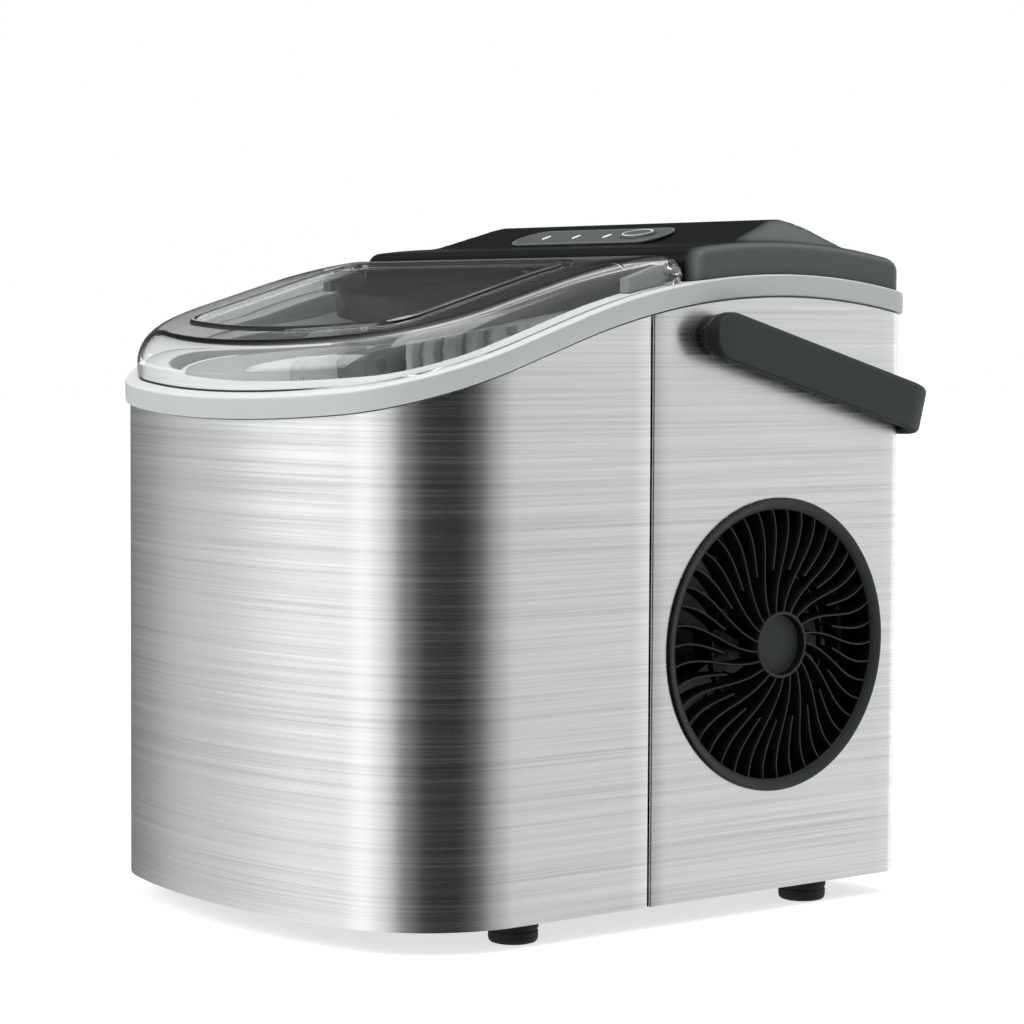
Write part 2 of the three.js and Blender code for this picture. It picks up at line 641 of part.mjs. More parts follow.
function sideGrille() {
  const face = HALF_WIDTH + GAP;
  const rim = turnedX([
    [GRILLE_BORE, 102], [56.3, 102], [56.3, face], [GRILLE_RADIUS, face], [GRILLE_RADIUS, face + 0.7],
    [GRILLE_RADIUS - 0.9, face + 1.3], [GRILLE_RADIUS - 1.6, face + 1.3], [GRILLE_BORE, 111.4],
    [GRILLE_BORE, 102],
  ], FAN.y, FAN.z, 2 * VANE_PAIRS);
  const hub = prismX(circle(FAN.y, FAN.z, HUB_RADIUS, 21), 104, 115.5)
    .subtract(prismX(circle(FAN.y, FAN.z, HUB_RADIUS - 1.4, 21), 111.6, 120));
  const dome = turnedX([
    [0, 104], [56, 104], [56, GRILLE_DOME.rim], [GRILLE_BORE, GRILLE_DOME.rim],
    [HUB_RADIUS, GRILLE_DOME.hub], [0, GRILLE_DOME.hub],
  ], FAN.y, FAN.z, 2 * VANE_PAIRS);
  const midRing = prismX(circle(FAN.y, FAN.z, MID_RING_RADIUS + 0.7, VANE_PAIRS), 104, 107)
    .subtract(prismX(circle(FAN.y, FAN.z, MID_RING_RADIUS - 0.7, VANE_PAIRS), 100, 120));
  const vanes = [];
  for (let pair = 0; pair < VANE_PAIRS; pair++) {
    const start = (360 / VANE_PAIRS) * pair;
    vanes.push(vane(start, HUB_RADIUS - 1, 5));
    vanes.push(vane(start + 180 / VANE_PAIRS, MID_RING_RADIUS - 0.4, 3));
  }
  return union([rim, hub, midRing, union(vanes).intersect(dome)]);
}

function fan() {
  const hub = prismX(circle(FAN.y, FAN.z, 14, 20), FAN_X - 7, FAN_X + 6);
  const shaft = prismX(circle(FAN.y, FAN.z, 2.4, 10), SHROUD_X[0] + GAP, FAN_X);
  const chord = [
    point(-9, 11), point(9, 11), point(13, 30), ...arcPoints(0, 0, FAN_RADIUS, 73, 107, 4), point(-13, 30),
  ];
  const blade = prismX(chord, -0.8, 0.8).rotate([0, 0, 35]);
  const blades = Array.from({ length: FAN_BLADES }, (_, i) => (
    blade.rotate([(360 / FAN_BLADES) * i, 0, 0]).translate([FAN_X, FAN.y, FAN.z])
  ));
  return union([hub, shaft, ...blades]);
}

// A ring around the fan, with three arms that carry the motor plate.
function fanShroud() {
  const wall = prismX(circle(FAN.y, FAN.z, SHROUD_RADIUS, 36), ...SHROUD_X)
    .subtract(prismX(circle(FAN.y, FAN.z, SHROUD_BORE, 36), 70, 110));
  const armX = [SHROUD_X[0], SHROUD_X[0] + 3];
  const plate = prismX(circle(FAN.y, FAN.z, 17, 20), ...armX);
  const arm = box(...armX, -4, 4, 14, SHROUD_BORE + 1);
  const arms = [0, 120, 240].map((turn) => arm.rotate([turn, 0, 0]).translate([0, FAN.y, FAN.z]));
  return union([wall, plate, ...arms])
    .subtract(prismX(circle(FAN.y, FAN.z, 3, 12), 70, 90));
}

const fanMotor = () => prismX(circle(FAN.y, FAN.z, 16, 20), 62, SHROUD_X[0] - GAP);

function condenser() {
  const [x0, x1] = [28, 56];
  const block = box(x0, x1, 14, 104, 44, 142);
  const grooves = [];
  for (let fin = 0; fin < 9; fin++) {
    const y = 20 + fin * 9.5;
    grooves.push(box(x0 - 5, x0 + 12, y, y + 4.5, 50, 136));
    grooves.push(box(x1 - 12, x1 + 5, y, y + 4.5, 50, 136));
  }
  return block.subtract(union(grooves));
}

function compressor() {
  const [x, y] = [-46, 84];
  const can = turnedZ([[0, 15], [40, 15], [40, 100], [34, 114], [18, 120], [0, 120]], x, y, 28);
  const plate = prismZ(roundedRectangle(x, y, 86, 86, 10, 2), PANEL_BOTTOM + 3 + GAP, 16);
  return can.add(plate);
}

const hotGasPipe = () => tube([
  [-30, 70, 119.6], [-29, 68, 130], [-20, 62, 148], [0, 60, 156], [30, 60, 156], [42, 60, 151],
  [42, 60, 142.4],
], 3, 16);

const suctionPipe = () => tube([
  [-60, 84, 120.4], [-60, 84, 150], [-62, 70, 190], [-66, 40, 225], [-66, 26, 234],
], 3, 12);

// ---- Tank and ice-making works ----

function tankProfile(shrink) {
  return [
    point(-150, SHELF_Z + shrink), point(SHELF_Y + shrink, SHELF_Z + shrink),
    point(SHELF_Y + shrink, TANK_BOTTOM + shrink), point(TANK_LOWER_REAR - shrink, TANK_BOTTOM + shrink),
    point(TANK_LOWER_REAR - shrink, TANK_STEP_Z + shrink),
    point(TANK_UPPER_REAR - shrink, TANK_STEP_Z + shrink),
    point(TANK_UPPER_REAR - shrink, 300), point(-150, 300),
  ];
}

function innerTank() {
  const shape = (shrink) => prismZ(casingOutline(TANK_INSET + shrink), 0, 300)
    .intersect(prismX(tankProfile(shrink), -130, 130));
  return shape(0).subtract(shape(TANK_WALL)).intersect(underBand(-GAP));
}

function tankInsulation() {
  return ring(casingOutline(4), casingOutline(TANK_INSET - GAP))
    .intersect(box(-200, 200, -200, SEAM_Y - 3, 60, 300))
    .intersect(underBand(-8));
}

const BASKET = { inset: 21, wall: 2, bottom: SHELF_Z + TANK_WALL + GAP, rear: -50.5, rearTop: 146 };

const basketPrism = (inset, profile) => prismZ(casingOutline(inset), 50, 310)
  .intersect(prismX(profile, -130, 130));

// The rear wall is low, so that the pusher can sweep ice over it.
function iceBasket() {
  const { inset, wall, bottom, rear, rearTop } = BASKET;
  const outer = basketPrism(inset, [
    point(-150, bottom), point(rear, bottom), point(rear, rearTop), point(rear - 3, rearTop),
    point(-66, 200), point(-70, 240), point(-150, 240),
  ]);
  const inner = basketPrism(inset + wall, [
    point(-150, bottom + wall), point(rear - wall, bottom + wall), point(rear - wall, 300), point(-150, 300),
  ]);
  const slots = [];
  for (let column = -4; column <= 4; column++) {
    slots.push(prismZ(roundedRectangle(column * 15, -84, 4, 40, 1.3, 1), 50, bottom + 10));
  }
  return outer.subtract(inner).intersect(underBand(2)).subtract(union(slots));
}

const { y: AXIS_Y, z: AXIS_Z } = TRAY_AXIS;

function waterTray() {
  const sector = (radius) => arcPoints(AXIS_Y, AXIS_Z, radius, 190, 350, 12);
  const half = TRAY_HALF_WIDTH;
  const trough = prismX([...sector(TRAY_RADIUS), ...sector(TRAY_RADIUS - 2).reverse()], -half, half);
  const end = [...sector(TRAY_RADIUS), point(AXIS_Y + 6, AXIS_Z + 6), point(AXIS_Y - 6, AXIS_Z + 6)];
  const pin = circle(AXIS_Y, AXIS_Z, 3, 12);
  return union([
    trough,
    prismX(end, -half, -half + 2),
    prismX(end, half - 2, half),
    prismX(pin, -half - 8, -half + 1),
    prismX(pin, half - 1, half + 8),
  ]);
}

// The pusher is made hanging straight down and then swung to where it rests.
function icePusher() {
  const half = PUSHER_HALF_WIDTH;
  const tip = AXIS_Z - PUSHER_REACH;
  const armProfile = [
    ...arcPoints(AXIS_Y, AXIS_Z, 6, 0, 180, 8), point(AXIS_Y - 6, tip), point(AXIS_Y + 6, tip),
  ];
  const paddle = box(-half, half, AXIS_Y - 1, AXIS_Y + 1, tip, AXIS_Z - 31);
  const slots = [];
  for (let column = -4; column <= 4; column++) {
    slots.push(box(column * 16 - 2, column * 16 + 2, AXIS_Y - 3, AXIS_Y + 3, tip - 2, tip + 12));
  }
  const hanging = union([
    paddle.subtract(union(slots)),
    prismX(armProfile, -half, -half + 2.2),
    prismX(armProfile, half - 2.2, half),
  ]).subtract(prismX(circle(AXIS_Y, AXIS_Z, 3.3, 12), -100, 100));
  return hanging.translate([0, -AXIS_Y, -AXIS_Z])
    .rotate([-PUSHER_REST_ANGLE, 0, 0])
    .translate([0, AXIS_Y, AXIS_Z]);
}

function iceChute() {
  const sector = (radius) => arcPoints(AXIS_Y, AXIS_Z, radius, 240, 300, 6);
  const plate = prismX([...sector(CHUTE_RADIUS + 2), ...sector(CHUTE_RADIUS).reverse()], -84, 84);
  const slots = [];
  for (let column = -3; column <= 3; column++) {
    slots.push(box(column * 22 - 3, column * 22 + 3, AXIS_Y - 20, AXIS_Y + 20, 100, 200));
  }
  return plate.subtract(union(slots));
}

function evaporator() {
  const headerZ = 243;
  const header = prismX(circle(AXIS_Y, headerZ, 4.5, 10), -70, 70);
  const fingers = Array.from({ length: FINGER_COUNT }, (_, i) => {
    const x = (i - (FINGER_COUNT - 1) / 2) * FINGER_PITCH;
    const profile = [[0, 195], [2.5, 195], [4, 198], [4, headerZ], [0, headerZ]];
    return turnedZ(profile, x, AXIS_Y, 8);
  });
  return union([header, ...fingers]);
}

const COVER = { halfWidth: 92, depth: 60, centreY: 8, rear: -9.5 };

function evaporatorCover() {
  const plan = (shrink) => {
    const outline = ellipse(0, COVER.centreY, COVER.halfWidth - shrink, COVER.depth - shrink, 40);
    return prismZ(outline, 150, 300).intersect(box(-100, 100, -100, COVER.rear - shrink, 140, 310));
  };
  const cap = plan(0).intersect(bandSlab(4, 16.5)).subtract(plan(2.5).intersect(bandSlab(0, 14)));
  const apron = box(-92, 92, COVER.rear - 1.5, HOUSING_FRONT - 2 * GAP, 200, 300)
    .intersect(bandSlab(BAND_HEIGHT - 2.7, BAND_HEIGHT - 0.8));
  return cap.add(apron);
}

function iceLevelSensor() {
  const profile = [
    point(-53.5, 236), point(-72, 229), point(-76, 224), point(-74, 212), point(-62, 205),
    point(-56, 208), point(-53, 222),
  ];
  const body = prismX(profile, -9, 9);
  return body.subtract(prismX(circle(-66, 222, 2.4, 12), 6, 12));
}

function trayMotor() {
  const gearbox = prismX(roundedRectangle(AXIS_Y, AXIS_Z, 26, 26, 5, 3), 82, 93);
  const boss = prismX(circle(AXIS_Y, AXIS_Z, 6, 16), 80 + GAP, 83);
  return gearbox.add(boss);
}

function waterPump() {
  const body = prismZ(roundedRectangle(-60, -32, 34, 34, 6, 3), TANK_BOTTOM + TANK_WALL + GAP, 88);
  const outlet = prismZ(circle(-60, -32, 4, 12), 86, 94);
  return body.add(outlet);
}

const waterHose = () => tube([
  [-60, -32, 94.5], [-60, -32, 100], [-64, -34, 108], [-76, -36, 118], [-88, -38, 134], [-90, -38, 160],
  [-90, -38, 215], [-86, -34, 228], [-78, -26, 232],
], 3, 20);

// ---- Handle ----

function handle() {
  const reach = HANDLE_REACH_OUTER;
  const tail = -HANDLE_WIDTH / 2;
  const innerCorner = 11;
  const outerCorner = 18;
  const outline = [
    point(HANDLE_OUTER_X, tail),
    ...arcPoints(HANDLE_OUTER_X - outerCorner, reach - outerCorner, outerCorner, 0, 90, 6),
    ...arcPoints(outerCorner - HANDLE_OUTER_X, reach - outerCorner, outerCorner, 90, 180, 6),
    point(-HANDLE_OUTER_X, tail),
    point(-HANDLE_INNER_X, tail),
    ...arcPoints(innerCorner - HANDLE_INNER_X, HANDLE_REACH_INNER - innerCorner, innerCorner, 180, 90, 5),
    ...arcPoints(HANDLE_INNER_X - innerCorner, HANDLE_REACH_INNER - innerCorner, innerCorner, 90, 0, 5),
    point(HANDLE_INNER_X, tail),
  ];
  const half = HANDLE_WIDTH / 2;
  const sideProfile = [
    ...arcPoints(0, 0, half, 90, 270, 10), point(reach + 5, -half), point(reach + 5, half),
  ];
  return prismZ(outline, -half, half)
    .intersect(prismX(sideProfile, -130, 130))
    .subtract(prismX(circle(0, 0, 3.2, 12), -122.6, 122.6))
    .rotate([HANDLE_REST_ANGLE, 0, 0])
    .translate([0, HANDLE_PIVOT.y, HANDLE_PIVOT.z]);
}

function handlePivot(side) {
  const disc = (radius, x0, x1) => (
    prismX(circle(HANDLE_PIVOT.y, HANDLE_PIVOT.z, radius, 16), ...onSide(side, x0, x1))
  );
  return union([
    disc(4.6, 106, 113),
    disc(6.5, HALF_WIDTH + GAP, 114.5),
    disc(8.8, 114, HANDLE_INNER_X - GAP),
    disc(2.9, 116, 122.2),
  ]);
}

// ---- Assembly ----

const COLOURS = {
  steel: { color: 0xc9cccb, roughness: 0.32, metalness: 1 },
  band: { color: 0xc4c8c7, roughness: 0.45, metalness: 0 },
  tank: { color: 0xd8dbda, roughness: 0.5, metalness: 0 },
  gloss: { color: 0x0b0c0c, roughness: 0.15, metalness: 0 },
  black: { color: 0x17191a, roughness: 0.5, metalness: 0 },
  slate: { color: 0x323b3b, roughness: 0.55, metalness: 0 },
  rubber: { color: 0x141414, roughness: 0.8, metalness: 0 },
  clear: { color: 0xeef2f2, roughness: 0.05, metalness: 0 },
  foam: { color: 0xf0efe8, roughness: 0.9, metalness: 0 },
  copper: { color: 0xb06a45, roughness: 0.35, metalness: 1 },
  aluminium: { color: 0xaeb2b4, roughness: 0.4, metalness: 1 },
  board: { color: 0x1f5a38, roughness: 0.5, metalness: 0 },
  grey: { color: 0x6e7474, roughness: 0.4, metalness: 0 },
};

const assembly = new THREE.Group();

function place(name, finish, solid) {
  const mesh = new THREE.Mesh(toGeometry(solid), new THREE.MeshStandardMaterial(COLOURS[finish]));
  mesh.name = name;
  assembly.add(mesh);
}

place('base_tray', 'black', baseTray());
FEET.forEach((spec) => place(`foot_${spec.name}`, 'rubber', foot(spec)));
place('front_wrap', 'steel', frontWrap());
place('right_side_panel', 'steel', rightSidePanel());
place('left_side_panel', 'steel', leftSidePanel());
place('rear_panel', 'black', rearPanel());
REAR_SCREWS.forEach((at, i) => place(`rear_screw_${i + 1}`, 'aluminium', rearScrew(at)));
place('cord_inlet', 'black', cordInlet());
place('drain_plug', 'rubber', drainPlug());
place('drain_socket', 'grey', drainSocket());
place('top_frame', 'band', topFrame());
place('top_housing', 'gloss', topHousing());
place('control_overlay', 'grey', controlOverlay());
INDICATOR_XS.forEach((x, i) => place(`indicator_lens_${i + 1}`, 'clear', indicatorLens(x)));
place('power_button', 'grey', powerButton());
place('control_board', 'board', controlBoard());
place('lid', 'clear', lid());
[['right', 1], ['left', -1]].forEach(([label, side]) => {
  place(`hinge_knuckle_${label}`, 'grey', hingeKnuckle(side));
  place(`lid_hinge_pin_${label}`, 'aluminium', lidHingePin(side));
  place(`handle_pivot_${label}`, 'black', handlePivot(side));
});
place('handle', 'slate', handle());
place('side_grille', 'black', sideGrille());
place('fan', 'slate', fan());
place('fan_shroud', 'black', fanShroud());
place('fan_motor', 'grey', fanMotor());
place('condenser', 'aluminium', condenser());
place('compressor', 'black', compressor());
place('hot_gas_pipe', 'copper', hotGasPipe());
place('suction_pipe', 'copper', suctionPipe());
place('inner_tank', 'tank', innerTank());
place('tank_insulation', 'foam', tankInsulation());
place('ice_basket', 'tank', iceBasket());
place('water_tray', 'tank', waterTray());
place('ice_pusher', 'tank', icePusher());
place('ice_chute', 'tank', iceChute());
place('evaporator', 'aluminium', evaporator());
place('evaporator_cover', 'gloss', evaporatorCover());
place('ice_level_sensor', 'slate', iceLevelSensor());
place('tray_motor', 'black', trayMotor());
place('water_pump', 'grey', waterPump());
place('water_hose', 'clear', waterHose());

export default assembly;
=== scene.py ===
import json
import math

import bmesh
import bpy
from mathutils import Matrix, Vector

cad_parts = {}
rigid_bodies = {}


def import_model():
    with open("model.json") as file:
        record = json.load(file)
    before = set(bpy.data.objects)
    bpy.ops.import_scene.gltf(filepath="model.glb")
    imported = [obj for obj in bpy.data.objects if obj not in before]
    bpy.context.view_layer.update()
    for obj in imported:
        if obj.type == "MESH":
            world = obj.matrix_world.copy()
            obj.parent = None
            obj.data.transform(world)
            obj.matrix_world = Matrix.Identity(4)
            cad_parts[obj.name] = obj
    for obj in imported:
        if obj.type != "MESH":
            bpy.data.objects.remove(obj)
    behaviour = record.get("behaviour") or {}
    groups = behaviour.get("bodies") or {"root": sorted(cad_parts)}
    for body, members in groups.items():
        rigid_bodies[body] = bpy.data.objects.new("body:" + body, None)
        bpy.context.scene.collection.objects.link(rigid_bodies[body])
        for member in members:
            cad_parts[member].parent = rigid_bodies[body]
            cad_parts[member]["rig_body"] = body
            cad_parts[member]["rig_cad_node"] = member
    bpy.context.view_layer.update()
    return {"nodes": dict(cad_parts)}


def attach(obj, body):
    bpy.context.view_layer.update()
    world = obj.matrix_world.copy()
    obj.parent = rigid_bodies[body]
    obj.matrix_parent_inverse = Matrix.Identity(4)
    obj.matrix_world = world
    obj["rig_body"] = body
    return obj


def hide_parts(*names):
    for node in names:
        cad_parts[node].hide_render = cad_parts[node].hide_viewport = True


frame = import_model()
cad_nodes = frame["nodes"]

MM = 0.001

# ---- Driving dimensions, in millimetres ----

# Casing in plan: a bowed front, large front corners, small rear corners.
HALF_WIDTH = 112
FRONT_RADIUS = 285
FRONT_CENTRE_Y = 143.5
CORNER_RADIUS = 54
CORNER_X = HALF_WIDTH - CORNER_RADIUS
CORNER_Y = FRONT_CENTRE_Y - math.sqrt((FRONT_RADIUS - CORNER_RADIUS) ** 2 - CORNER_X**2)
BOW_ANGLE = math.degrees(math.asin(CORNER_X / (FRONT_RADIUS - CORNER_RADIUS)))
REAR_Y = 132
REAR_CORNER_RADIUS = 8
SHEET = 1
PANEL_BOTTOM = 9.3
SEAM_Y = -11.1
SIDE_FRONT_Y = -10.1
REAR_WRAP_X = 100
GAP = 0.3
SEAM_ROLL = 0.8  # radius of the sheets' rolled edges at the seam
SHADOW_GAP = 0.8  # the dark line between the sheet metal and the trim band

# Holes in the panels, as (y, z) on the left side and (x, z) on the back.
GRILLE_HOLE_RADIUS = 56.8
PIVOT_HOLE_RADIUS = 5
SIDE_SLOTS = [(24 + column * 9, 72 + row * 46) for row in range(2) for column in range(9)]
REAR_SLOTS = [((column - 5) * 12, 150) for column in range(11)]
REAR_SCREWS = ((-92, 60), (92, 60), (-92, 226), (92, 226))
CORD_INLET = (-78, 38)
DRAIN = (78, 38)

# Trim band: its lower edge is a crown arc at the back and a straight slope towards the front.
CROWN_RADIUS = 345
CROWN_Y = 62.3
CROWN_TOP = 252.2
CROWN_END_Y = -47.3
BAND_HEIGHT = 8.6
BAND_PROUD = 2
LEDGE_INSET = 17
COMPARTMENT_REAR = -8

# Clear lid, turning about an axis along X.
LID_INSET = 3
LID_WALL = 2.4
LID_RISE = 21
LID_FRONT_EXTRA = 5
LID_SHOULDER = 11
LID_AXIS_Y = 5
LID_AXIS_Z = 261.8
LID_REAR_RADIUS = 5.4
LID_REAR_BLEND = 5
NOTCH_X = (95.3, 102.2)
PIN_HOLE_X = (103, 112)
PIN_HOLE_RADIUS = 2.3
WINDOW_HALF_WIDTH = 75
WINDOW_FRONT = -118
WINDOW_REAR = -16
BEAD_WIDTH = 3
BEAD_HEIGHT = 1.6

# Black top housing.
HOUSING_FRONT = 12.6
HOUSING_REAR = 131.5
HOUSING_HALF_WIDTH = 111.5
SHOULDER = 22.1
CREST_HALF_WIDTH = 88
CREST_TOP = 285
FLANK_WIDTH = 20
FLANK_FOOT_Z = 265
REAR_ROUNDING = 9
CROWN_LINE = [(12.6, 268), (17, 269.9), (30, 271), (45, 274.2), (63, 279.9), (78, 284), (90, 281.3),
              (100, 276), (110, 270.6), (117.7, 267.6), (128.5, 264), (131.5, 262)]

# Control panel on the housing's front slope.
PANEL_Y = 54
PANEL_Z = 277.1
PANEL_TILT = 17.7
PANEL_WIDTH = 97
PANEL_DEPTH = 21
PANEL_CORNER = 10
BUTTON_X = 30.3
BUTTON_RADII = (9.5, 5.4)
BUTTON_HOLE_RADII = (9.9, 5.8)
INDICATOR_XS = (-30.3, -10.1, 10.1)
INDICATOR_RADII = (1.2, 2.8)

# Fan and grille, on one axis along X.
FAN_Y = 58.3
FAN_Z = 110
FAN_CENTRE = (FAN_Y, FAN_Z)
FAN_X = 92.5
FAN_BLADES = 5
GRILLE_RADIUS = 60
GRILLE_BORE = 55.2
GRILLE_DOME = [111.3, 115.2]
GRILLE_FACE = HALF_WIDTH + GAP
VANE_PAIRS = 21
VANE_TWIST = -20.5
HUB_RADIUS = 13.8
MID_RING_RADIUS = 31

# Carry handle, folded back.
PIVOT_Y = 22.5
PIVOT_Z = 235.7
HANDLE_REST_ANGLE = -15.5
HANDLE_INNER_X = 117
HANDLE_OUTER_X = 124.6
HANDLE_WIDTH = 19
HANDLE_REACH_INNER = 117.3
HANDLE_REACH_OUTER = 122.3


# ---- Meshes ----

def add_object(name, data):
    obj = bpy.data.objects.new(name, data)
    bpy.context.scene.collection.objects.link(obj)
    return obj


def new_object(name, vertices, faces, smooth_angle=32):
    """A mesh object from points in millimetres, with outward normals and sharp edges above an angle."""
    mesh = bpy.data.meshes.new(name)
    mesh.from_pydata([Vector(v) * MM for v in vertices], [], faces)
    tidy_mesh(mesh, smooth_angle)
    return add_object(name, mesh)


def tidy_mesh(mesh, smooth_angle=32, dissolve=False):
    """Merges doubled points, turns the normals outwards and marks the sharp edges."""
    work = bmesh.new()
    work.from_mesh(mesh)
    bmesh.ops.remove_doubles(work, verts=work.verts, dist=0.005 * MM)
    bmesh.ops.dissolve_degenerate(work, dist=0.002 * MM, edges=work.edges)
    if dissolve:
        bmesh.ops.dissolve_limit(work, angle_limit=math.radians(0.6), verts=work.verts, edges=work.edges)
    bmesh.ops.recalc_face_normals(work, faces=work.faces)
    work.to_mesh(mesh)
    work.free()
    mesh.shade_smooth()
    mesh.set_sharp_from_angle(angle=math.radians(smooth_angle))


def soften(obj, width=0.4, segments=2, angle=32):
    """Rounds the edges that are sharper than an angle."""
    bevel = obj.modifiers.new("soft_edges", "BEVEL")
    bevel.width = width * MM
    bevel.segments = segments
    bevel.limit_method = "ANGLE"
    bevel.angle_limit = math.radians(angle)
    bevel.use_clamp_overlap = True
    bevel.harden_normals = True
    return obj


def carve(obj, *cutters, solver="EXACT"):
    """Cuts the cutters out of obj and removes them."""
    for cutter in cutters:
        cut = obj.modifiers.new("cut", "BOOLEAN")
        cut.object = cutter
        cut.operation = "DIFFERENCE"
        cut.solver = solver
    evaluated = obj.evaluated_get(bpy.context.evaluated_depsgraph_get())
    mesh = bpy.data.meshes.new_from_object(evaluated)
    obj.modifiers.clear()
    obj.data = mesh
    for cutter in cutters:
        bpy.data.objects.remove(cutter)
    tidy_mesh(mesh)
    return obj


def join(name, *parts):
    """One object from several; its pieces keep their own surfaces."""
    work = bmesh.new()
    for part in parts:
        work.from_mesh(part.data)
        bpy.data.objects.remove(part)
    mesh = bpy.data.meshes.new(name)
    work.to_mesh(mesh)
    work.free()
    tidy_mesh(mesh)
    return add_object(name, mesh)


def finish_piece(obj, material, body, slot, *replaced):
    """Paints the piece, ties it to its body and hides the CAD nodes that it stands for; the slot is not used.
    """
    obj.data.materials.clear()
    obj.data.materials.append(material)
    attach(obj, body)
    if replaced:
        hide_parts(*replaced)
    return obj


def rings_to_mesh(name, rings, close_ends=True, closed_path=False, smooth_angle=32):
    """A surface through rings with the same number of points; the ends are capped or the path is a loop."""
    count = len(rings[0])
    vertices = [point for ring in rings for point in ring]
    faces = []
    spans = len(rings) if closed_path else len(rings) - 1
    for span in range(spans):
        low = span * count
        high = ((span + 1) % len(rings)) * count
        for i in range(count):
            j = (i + 1) % count
            faces.append((low + i, low + j, high + j, high + i))
    if close_ends and not closed_path:
        faces.append(tuple(range(count)))
        faces.append(tuple((len(rings) - 1) * count + i for i in range(count)))
    return new_object(name, vertices, faces, smooth_angle)


# The point at (a, b) across an axis and at a distance along it: (y, z) for X, (x, z) for Y, (x, y) for Z.
ACROSS = {
    "X": lambda a, b, along: (along, a, b),
    "Y": lambda a, b, along: (a, along, b),
    "Z": lambda a, b, along: (a, b, along),
}


def prism(name, outline, axis, low, high):
    """A straight block: the outline lies across the axis."""
    place = ACROSS[axis]
    return rings_to_mesh(name, [[place(a, b, along) for a, b in outline] for along in (low, high)])


def lathe(name, profile, axis, centre, steps):
    """A solid of revolution; the profile is (radius, distance along the axis) pairs in a closed loop."""
    place = ACROSS[axis]
    rings = []
    for i in range(steps):
        turn = 2 * math.pi * i / steps
        rings.append([place(centre[0] + r * math.cos(turn), centre[1] + r * math.sin(turn), along)
                      for r, along in profile])
    return rings_to_mesh(name, rings, closed_path=True)


def refined(node, width=0.3, segments=2, smooth_angle=32):
    """A finer copy of a CAD node: planar faces joined, curves shaded smooth and edges rounded."""
    obj = cad_nodes[node].copy()
    obj.data = cad_nodes[node].data.copy()
    obj.name = node + "_fine"
    obj.parent = None
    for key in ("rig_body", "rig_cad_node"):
        del obj[key]
    bpy.context.scene.collection.objects.link(obj)
    tidy_mesh(obj.data, smooth_angle, dissolve=True)
    return soften(obj, width, segments, smooth_angle)


# ---- Outlines ----

def arc(cx, cy, radius, start, end, steps, radius_y=None):
    """Points on an arc; the angles are in degrees."""
    other = radius if radius_y is None else radius_y
    angles = [math.radians(start + (end - start) * i / steps) for i in range(steps + 1)]
    return [(cx + radius * math.cos(a), cy + other * math.sin(a)) for a in angles]


def ellipse(cx, cy, radius_x, radius_y, steps=48):
    return arc(cx, cy, radius_x, 0, 360, steps, radius_y)[:-1]


def rounded_rectangle(cx, cy, width, height, radius, steps=6):
    dx, dy = width / 2 - radius, height / 2 - radius
    return (
        arc(cx + dx, cy + dy, radius, 0, 90, steps)
        + arc(cx - dx, cy + dy, radius, 90, 180, steps)
        + arc(cx - dx, cy - dy, radius, 180, 270, steps)
        + arc(cx + dx, cy - dy, radius, 270, 360, steps)
    )


def spread(start, end, steps):
    """Evenly spaced numbers, both ends included."""
    return [start + (end - start) * i / steps for i in range(steps + 1)]


def clamp(value, low=0.0, high=1.0):
    return max(low, min(high, value))


def smooth_min(a, b, radius):
    """The lesser of two heights, with the crease between them rounded."""
    mix = clamp(0.5 + (b - a) / (2 * radius))
    return b + (a - b) * mix - radius * mix * (1 - mix)


def smooth_max(a, b, radius):
    return -smooth_min(-a, -b, radius)


def band_bottom(y):
    """Lower edge of the trim band."""
    def crown(at):
        return CROWN_TOP - CROWN_RADIUS + math.sqrt(CROWN_RADIUS**2 - (at - CROWN_Y) ** 2)

    if y >= CROWN_END_Y:
        return crown(y)
    run = CROWN_Y - CROWN_END_Y
    slope = run / math.sqrt(CROWN_RADIUS**2 - run**2)
    return crown(CROWN_END_Y) - slope * (CROWN_END_Y - y)


def half_front(inset):
    """The casing's plan from the middle of the front round to the start of the right side."""
    front = arc(0, FRONT_CENTRE_Y, FRONT_RADIUS - inset, 270, 270 + BOW_ANGLE, 16)
    corner = arc(CORNER_X, CORNER_Y, CORNER_RADIUS - inset, 270 + BOW_ANGLE, 360, 24)
    return front + corner[1:]


def casing_outline(inset, rear=None):
    """The whole plan, counter-clockwise from the middle of the front."""
    back = REAR_Y - inset if rear is None else rear
    radius = max(REAR_CORNER_RADIUS - inset, 1)
    half_width = HALF_WIDTH - inset
    front = half_front(inset)
    side = [(half_width, y) for y in spread(CORNER_Y, back - radius, 30)[1:-1]]
    corner = arc(half_width - radius, back - radius, radius, 0, 90, 8)
    right = front + side + corner
    left = [(-x, y) for x, y in reversed(right[1:])]
    return right + [(0, back)] + left


def sheet_wall(name, outer, inner, bottom, top):
    """A sheet between two lines of points that run side by side, from bottom up to top(y)."""
    count = len(outer)
    section = outer + inner[::-1]
    vertices = [(x, y, bottom) for x, y in section] + [(x, y, top(y)) for x, y in section]
    size = len(section)
    faces = [(i, (i + 1) % size, size + (i + 1) % size, size + i) for i in range(size)]
    for i in range(count - 1):
        cap = (i, i + 1, size - 2 - i, size - 1 - i)
        faces.append(cap)
        faces.append(tuple(size + k for k in cap))
    return new_object(name, vertices, faces)


# ---- Materials ----

def new_material(name, colour, roughness, metallic=0.0, specular=0.5):
    material = bpy.data.materials.new(name)
    material.use_nodes = True
    shader = material.node_tree.nodes["Principled BSDF"]
    shader.inputs["Base Color"].default_value = (*colour, 1)
    shader.inputs["Roughness"].default_value = roughness
    shader.inputs["Metallic"].default_value = metallic
    shader.inputs["Specular IOR Level"].default_value = specular
    return material, shader


